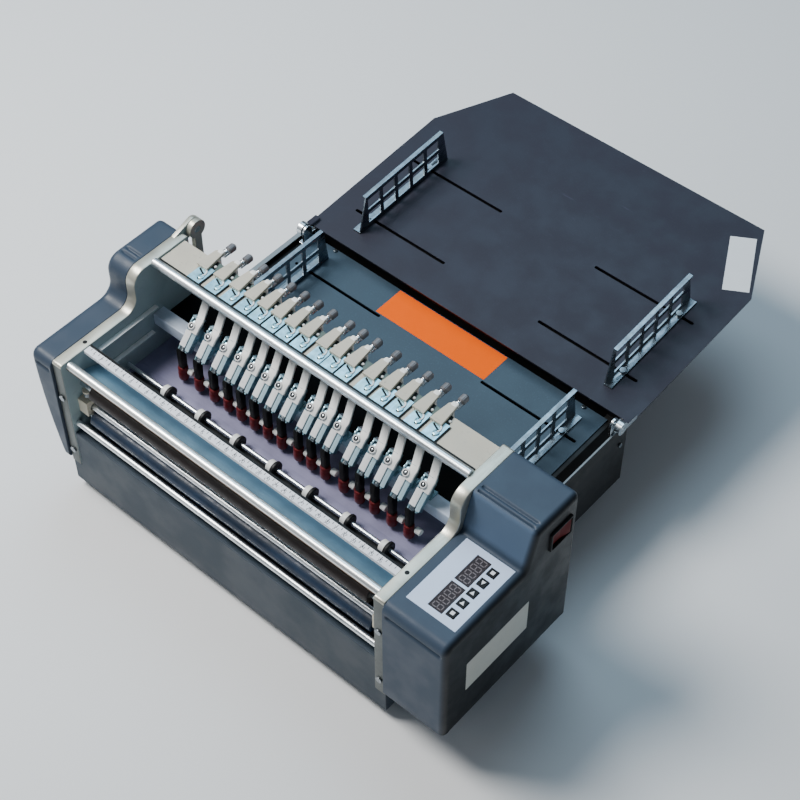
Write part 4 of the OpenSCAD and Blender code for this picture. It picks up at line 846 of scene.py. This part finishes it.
hookLook = dict(
    top=223.5, deck=222.0, slitX=-8.0, slitY=144.6, slitL=9.0, slitW=1.9, lean=-24.0, rimA=6.0, rimB=4.6,
    rimTurn=(176, -20), clampX=-3.5, clampY=139.5, gapShade=(1.3, 2.4, 131.0, 152.5), dotX=-2.9, dotY=157.5,
    tipX=-10.1, tipY=172.6, tipW=6.4, tipL=5.0, tipZ=(0.4, 3.5), railShade=(-189.0, 189.0, 129.3, 131.6),
    clamp=((0, 3.2), (0.5, 3.2), (0.8, 2.8), (0.9, 1.9), (0.4, 1.7), (0.4, 0)),
    shim=((-3.4, 153.4), (-0.6, 153.4), (-3.6, 163.6), (-6.0, 163.6)),
    dot=((0.2, 1.5), (0.9, 1.4), (1.4, 0.8), (1.5, 0)),
    oiled=((-157.0, 153.3), (141.0, 153.3), (137.5, 163.7), (-154.0, 163.7)))
barLook = dict(y=121.0, z=154.0, size=14.0, cornerR=1.0, guardY=(7.0, 45.0), guardZ=(-6.0, -4.5))


# what stands on the beam at each knife: slit, rim of the hook as a rounded section carried along part of an ellipse,
# black strips of painted shade in the gap at the hook's right edge and beside the tab, dot and clamp head
def hookLugs(h):
    (c, s), deck, top = cosSin(h["lean"]), h["deck"], h["top"]
    spin = np.array([[c, s], [-s, c]])
    slit = roundRect(h["slitL"], h["slitW"], 0.6, 3) @ spin
    bow = circle(np.radians(np.linspace(*h["rimTurn"], 19))) * [h["rimA"], h["rimB"]] @ spin
    lugs = []
    for x in knifeX:
        at = np.array([x + h["slitX"], h["slitY"]])
        rim = np.c_[bow + at, np.full(len(bow), top + 0.2)]
        lugs += [(*leaf(slit + at, top - 0.2, top + 0.12), "blackPlastic"),
                 (*carried(rim, [0, 0, 1.0], roundRect(1.8, 1.7, 0.7, 3)), "whiteZinc"),
                 (*leaf(rect(*h["gapShade"]) + [x, 0], deck, top - 0.2, 0.1), "blackPlastic"),
                 (*leaf(np.array(h["shim"]) + [x, 0], deck, deck + 0.25, 0.1), "blackPlastic"),
                 (*turned(h["dot"], (x + h["dotX"], h["dotY"], deck), upwards, 14), "whiteNut"),
                 (*turned(h["clamp"], (x + h["clampX"], h["clampY"], top), upwards, 20), "zincHook")]
    # painted shade: a dark green-grey sheet on the deck between the tabs, and a black strip along the rail's rear
    # edge
    lugs += [(*leaf(h["oiled"], deck, deck + 0.12), "oiledDeck"),
             (*leaf(rect(*h["railShade"]), deck, top + 0.1, 0.1), "blackPlastic")]
    makePiece("hookLugs", lugs, slot="zinc")
    tip = roundRect(h["tipW"], h["tipL"], 1.4, 3) + [h["tipX"], h["tipY"]]
    low, high = h["tipZ"]
    tips = [(*plate(tip + [x, 0], top + low, top + high, 0.8, 2), "whiteNut") for x in knifeX]
    makePiece("tabTips", tips, slot="ivory_paint")


# pressure screws: hexagon nut, plain shaft, and a knob turned in three runs, its grip fluted
def pressureScrews(q):
    hexagon = q["nutR"] * circle(np.arange(6) * np.pi / 3)
    y0, y1, r = q["knobY"], q["knobY"] + q["knobL"], q["knobR"]
    knob = (([(y0, 0), (y0, r - 1.2), (y0 + 0.8, r - 0.4)], 0, 0.0),
            ([(y0 + 0.8, r - 0.4), (y0 + 1.2, r), (y1 - 1.4, r), (y1 - 1.0, r - 0.5)], 16, 0.05),
            ([(y1 - 1.0, r - 0.5), (y1, r - 1.4), (y1, 1.6), (y1 - 0.8, 1.5), (y1 - 0.8, 0)], 0, 0.0))
    shaft, screws = barRings(q["beamY"], y0 + 1, q["shaftR"], 0.2), []
    for x in knifeX + q["x"]:
        at = (x, 0, q["z"])
        nut = plate(hexagon + [x, q["z"]], q["beamY"], q["beamY"] + q["nutL"], 0.3, 1)
        screws += [(*nut, "brightSteel"), (*turned(shaft, at, rearwards, 16), "brightSteel")]
        screws += [(*turned(rings, at, rearwards, 48, flutes, dip), "knobSteel") for rings, flutes, dip in knob]
    nodePiece("pressure_screws", screws)


# the near-black plate behind the bar, almost without gloss, is painted shade for the space under the beam
def knifeBar(b, half):
    y, z = b["y"], b["z"]
    shadePlate = rect(*b["guardY"], *b["guardZ"]) + [y, z]
    square = roundRect(b["size"], b["size"], b["cornerR"]) + [y, z]
    nodePiece("knife_bar", [(*plate(square, -half, half, 0.5), "blueSteel"),
                            (*plate(shadePlate, -half, half, 0.3), "guardBlack")])


# coil: a round wire carried along a helix, point = centre + r (cos a, sin a) rising evenly along one axis
def coil(centre, axis, r, turns, start, end, wire):
    a = np.linspace(0, 2 * np.pi * turns, int(turns * 28))
    u, v, rise = np.cos(a), np.sin(a), np.linspace(start + wire, end - wire, len(a))
    order = {1: (r * u, rise, r * v), 2: (r * u, r * v, rise)}[axis]
    out = {1: (u, 0 * a, v), 2: (u, v, 0 * a)}[axis]
    path = np.stack(order, 1) + np.asarray(centre, float)
    return carried(path, np.stack(out, 1), wire * circle(np.linspace(0, 2 * np.pi, 8, endpoint=False)))


blockSpring = dict(x=184.0, y=19.5, r=3.2, turns=4.0, z=(128.85, 136.25))


def springs(q, b):
    coils = [coil((x + q["x"], 0, q["z"]), 1, q["springR"], q["turns"], *q["springY"], q["wire"]) for x in knifeX]
    coils += [coil((x, b["y"], 0), 2, b["r"], b["turns"], *b["z"], q["wire"]) for x in (-b["x"], b["x"])]
    nodePiece("coil_springs", [(*c, "brightSteel") for c in coils])


easedCopy("hook_plates", "zincHook", 0.5)
easedCopy("pressure_tabs", "ivoryPaint", 0.6)
blocks = easedCopy("pivot_blocks", "zincArm", 0.3)
blocks.data.transform(Matrix.Translation((knifeLook["aside"] / 1000, 0, 0)))
hookLugs(hookLook)
pressureScrews(pressLook)
knifeBar(barLook, machine["halfIn"])
springs(pressLook, blockSpring)
print("beam fittings done")

# trays, guides and stickers

for node, look, edge in (("feed_tray", "trayPaint", 0.4), ("tray_box", "blackPaint", 0.6),
                         ("hinge_brackets", "brightSteel", 0.6)):
    easedCopy(node, look, edge)
for node in ("feed_guide_left", "feed_guide_right", "extension_guide_left", "extension_guide_right"):
    easedCopy(node, "zincGuide", 0.3)

extension = dict(
    y=326.0, z=128.0, tilt=3.15, mid=16.5, slotIn=61.0, slotOut=176.0, slots=(44.0, 135.0), earEnd=325.0,
    troughHalf=6.0, troughLow=-8.0, troughTop=-1.5, skin=0.8,
    label=((156, 579), (179, 592), (213, 528), (190, 515)))


# place on the tilted extension tray: u along the tray from its near edge, h above its upper face
def onTray(e, x, u, h):
    c, s = cosSin(e["tilt"])
    return np.stack(np.broadcast_arrays(x, e["y"] + u * c - h * s, e["z"] + u * s + h * c), -1)


def extensionTray(e):
    piece = easedCopy("extension_tray", "darkTrayPaint", 0.5)
    repaint(piece, "brightSteel", lambda at, out: at[:, 1] < e["earEnd"])
    # black troughs under the slots, painted shade that keeps the slots dark: a U section carried along each slot
    w, low, top = e["troughHalf"], e["troughLow"], e["troughTop"]
    v, floor = w - e["skin"], low + e["skin"]
    trough = np.array([[-w, top], [-w, low], [w, low], [w, top], [v, top], [v, floor], [-v, floor], [-v, top]])
    wall = rect(-v, v, floor, top)
    parts = []
    for u, side in [(u, side) for u in e["slots"] for side in (-1, 1)]:
        ends = sorted((e["mid"] + side * (e["slotIn"] - w), e["mid"] + side * (e["slotOut"] + w)))
        shell = np.concatenate([onTray(e, x, u + trough[:, 0], trough[:, 1]) for x in ends])
        parts.append((shell, cappedFaces(2, len(trough)), "blackPaint"))
        parts += [(onTray(e, x, u + wall[:, 0], wall[:, 1]), [[0, 1, 2, 3]], "blackPaint") for x in ends]
    makePiece("slotShadeTroughs", parts, "extension_tray", slot="dark_tray_paint")
    pts, faces = leaf(np.array(e["label"], float) - [0, e["y"]], 0.02, 0.2)
    makePiece("whiteSticker", [(onTray(e, *pts.T), faces, "whitePaper")], "extension_tray", slot="dark_tray_paint")


extensionTray(extension)

# strips on the tray box: (from, to) in x, height and finish; the left rim is pale, the right rim's pale strip is a
# painted highlight and the gutter's black strip is painted shade
boxStrips = {"leftRim": (-191.6, -186.4, 119.0, "rimGrey"), "rightRim": (210.1, 211.9, 119.0, "rimGrey"),
             "rightGutter": (199.0, 209.6, machine["sheetZ"], "guardBlack")}
stripY = (171.0, 330.0)
for name, (x0, x1, z, look) in boxStrips.items():
    makePiece(name, [(*leaf(rect(x0, x1, *stripY), z - 0.3, z + 0.15, 0.1), look)], slot="black_paint")

# bare stickers: two spans across the face that they lie on, its axis and place, corner radius, finish, slot
stickers = {"orangeSticker": ((-62.0, 75.0), (288.0, 325.0), 2, machine["sheetZ"], 0.6, "orangePaper", "tray_paint"),
            "sideSticker": ((25.0, 108.0), (91.0, 132.0), 0, 271.0, 1.0, "silverFilm", "cover_plastic")}
stickerT = 0.18
for name, (wide, long, axis, face, r, look, slot) in stickers.items():
    loop = roundRect(np.ptp(wide), np.ptp(long), r) + [np.mean(wide), np.mean(long)]
    makePiece(name, [(*plate(loop, face, face + stickerT, 0.06, axis, 1), look)], slot=slot)
print("trays and stickers done")

# floor, light, camera

studio = dict(
    camera=(0.72195, -0.90946, 1.4076), target=(0.02547, -0.10683, 0.14819), lens=80.55,
    floor=srgb(240, 241, 242), half=6, world=(0.74, 0.87, 1.0, 1.0), fill=0.17)
# place, aim, size, power and tint of each lamp
lamps = {"overheadSoftbox": ((-1.0, -0.6, 1.75), (0.0, 0.0, 0.1), 0.9, 50, (1.0, 0.99, 0.97)),
         "skySheen": ((-0.6, 0.85, 2.0), (0.0, 0.0, 0.1), 1.6, 20, (0.55, 0.80, 1.0)),
         "frontFill": ((-1.3, -1.7, 1.1), (0.0, -0.1, 0.1), 1.2, 3, (1.0, 0.98, 0.96))}


def makeFloor(s):
    f = Finish("paleFloor", roughness=0.7)
    f.feed(baseColor=f.mix(f.cloud(400), shade(s["floor"], 0.97), s["floor"]))
    mesh = bpy.data.meshes.new("floor")
    corners = [(x, y, 0) for x, y in rect(-s["half"], s["half"], -s["half"], s["half"])]
    mesh.from_pydata(corners, [], [(0, 1, 2, 3)])
    mesh.materials.append(f.material)
    floor = bpy.data.objects.new("floor", mesh)
    bpy.context.scene.collection.objects.link(floor)


def aimed(name, data, place, aim):  # a lamp or camera that looks from one place to another
    thing = bpy.data.objects.new(name, data)
    thing.location = place
    thing.rotation_euler = (Vector(aim) - Vector(place)).to_track_quat("-Z", "Y").to_euler()
    bpy.context.scene.collection.objects.link(thing)
    return thing


makeFloor(studio)
for name, (place, aim, size, power, tint) in lamps.items():
    data = bpy.data.lights.new(name, "AREA")
    data.shape, data.size, data.energy, data.color = "DISK", size, power, tint
    aimed(name, data, place, aim)
world = bpy.data.worlds.new("studio")
bpy.context.scene.world = world
world.use_nodes = True
for k, value in enumerate((studio["world"], studio["fill"])):
    world.node_tree.nodes["Background"].inputs[k].default_value = value

view = bpy.data.cameras.new("photoView")
view.lens, view.sensor_width, view.clip_start, view.clip_end = studio["lens"], 36.0, 0.05, 50.0
bpy.context.scene.camera = aimed("photoView", view, studio["camera"], studio["target"])
print("studio done")

bpy.context.view_layer.update()
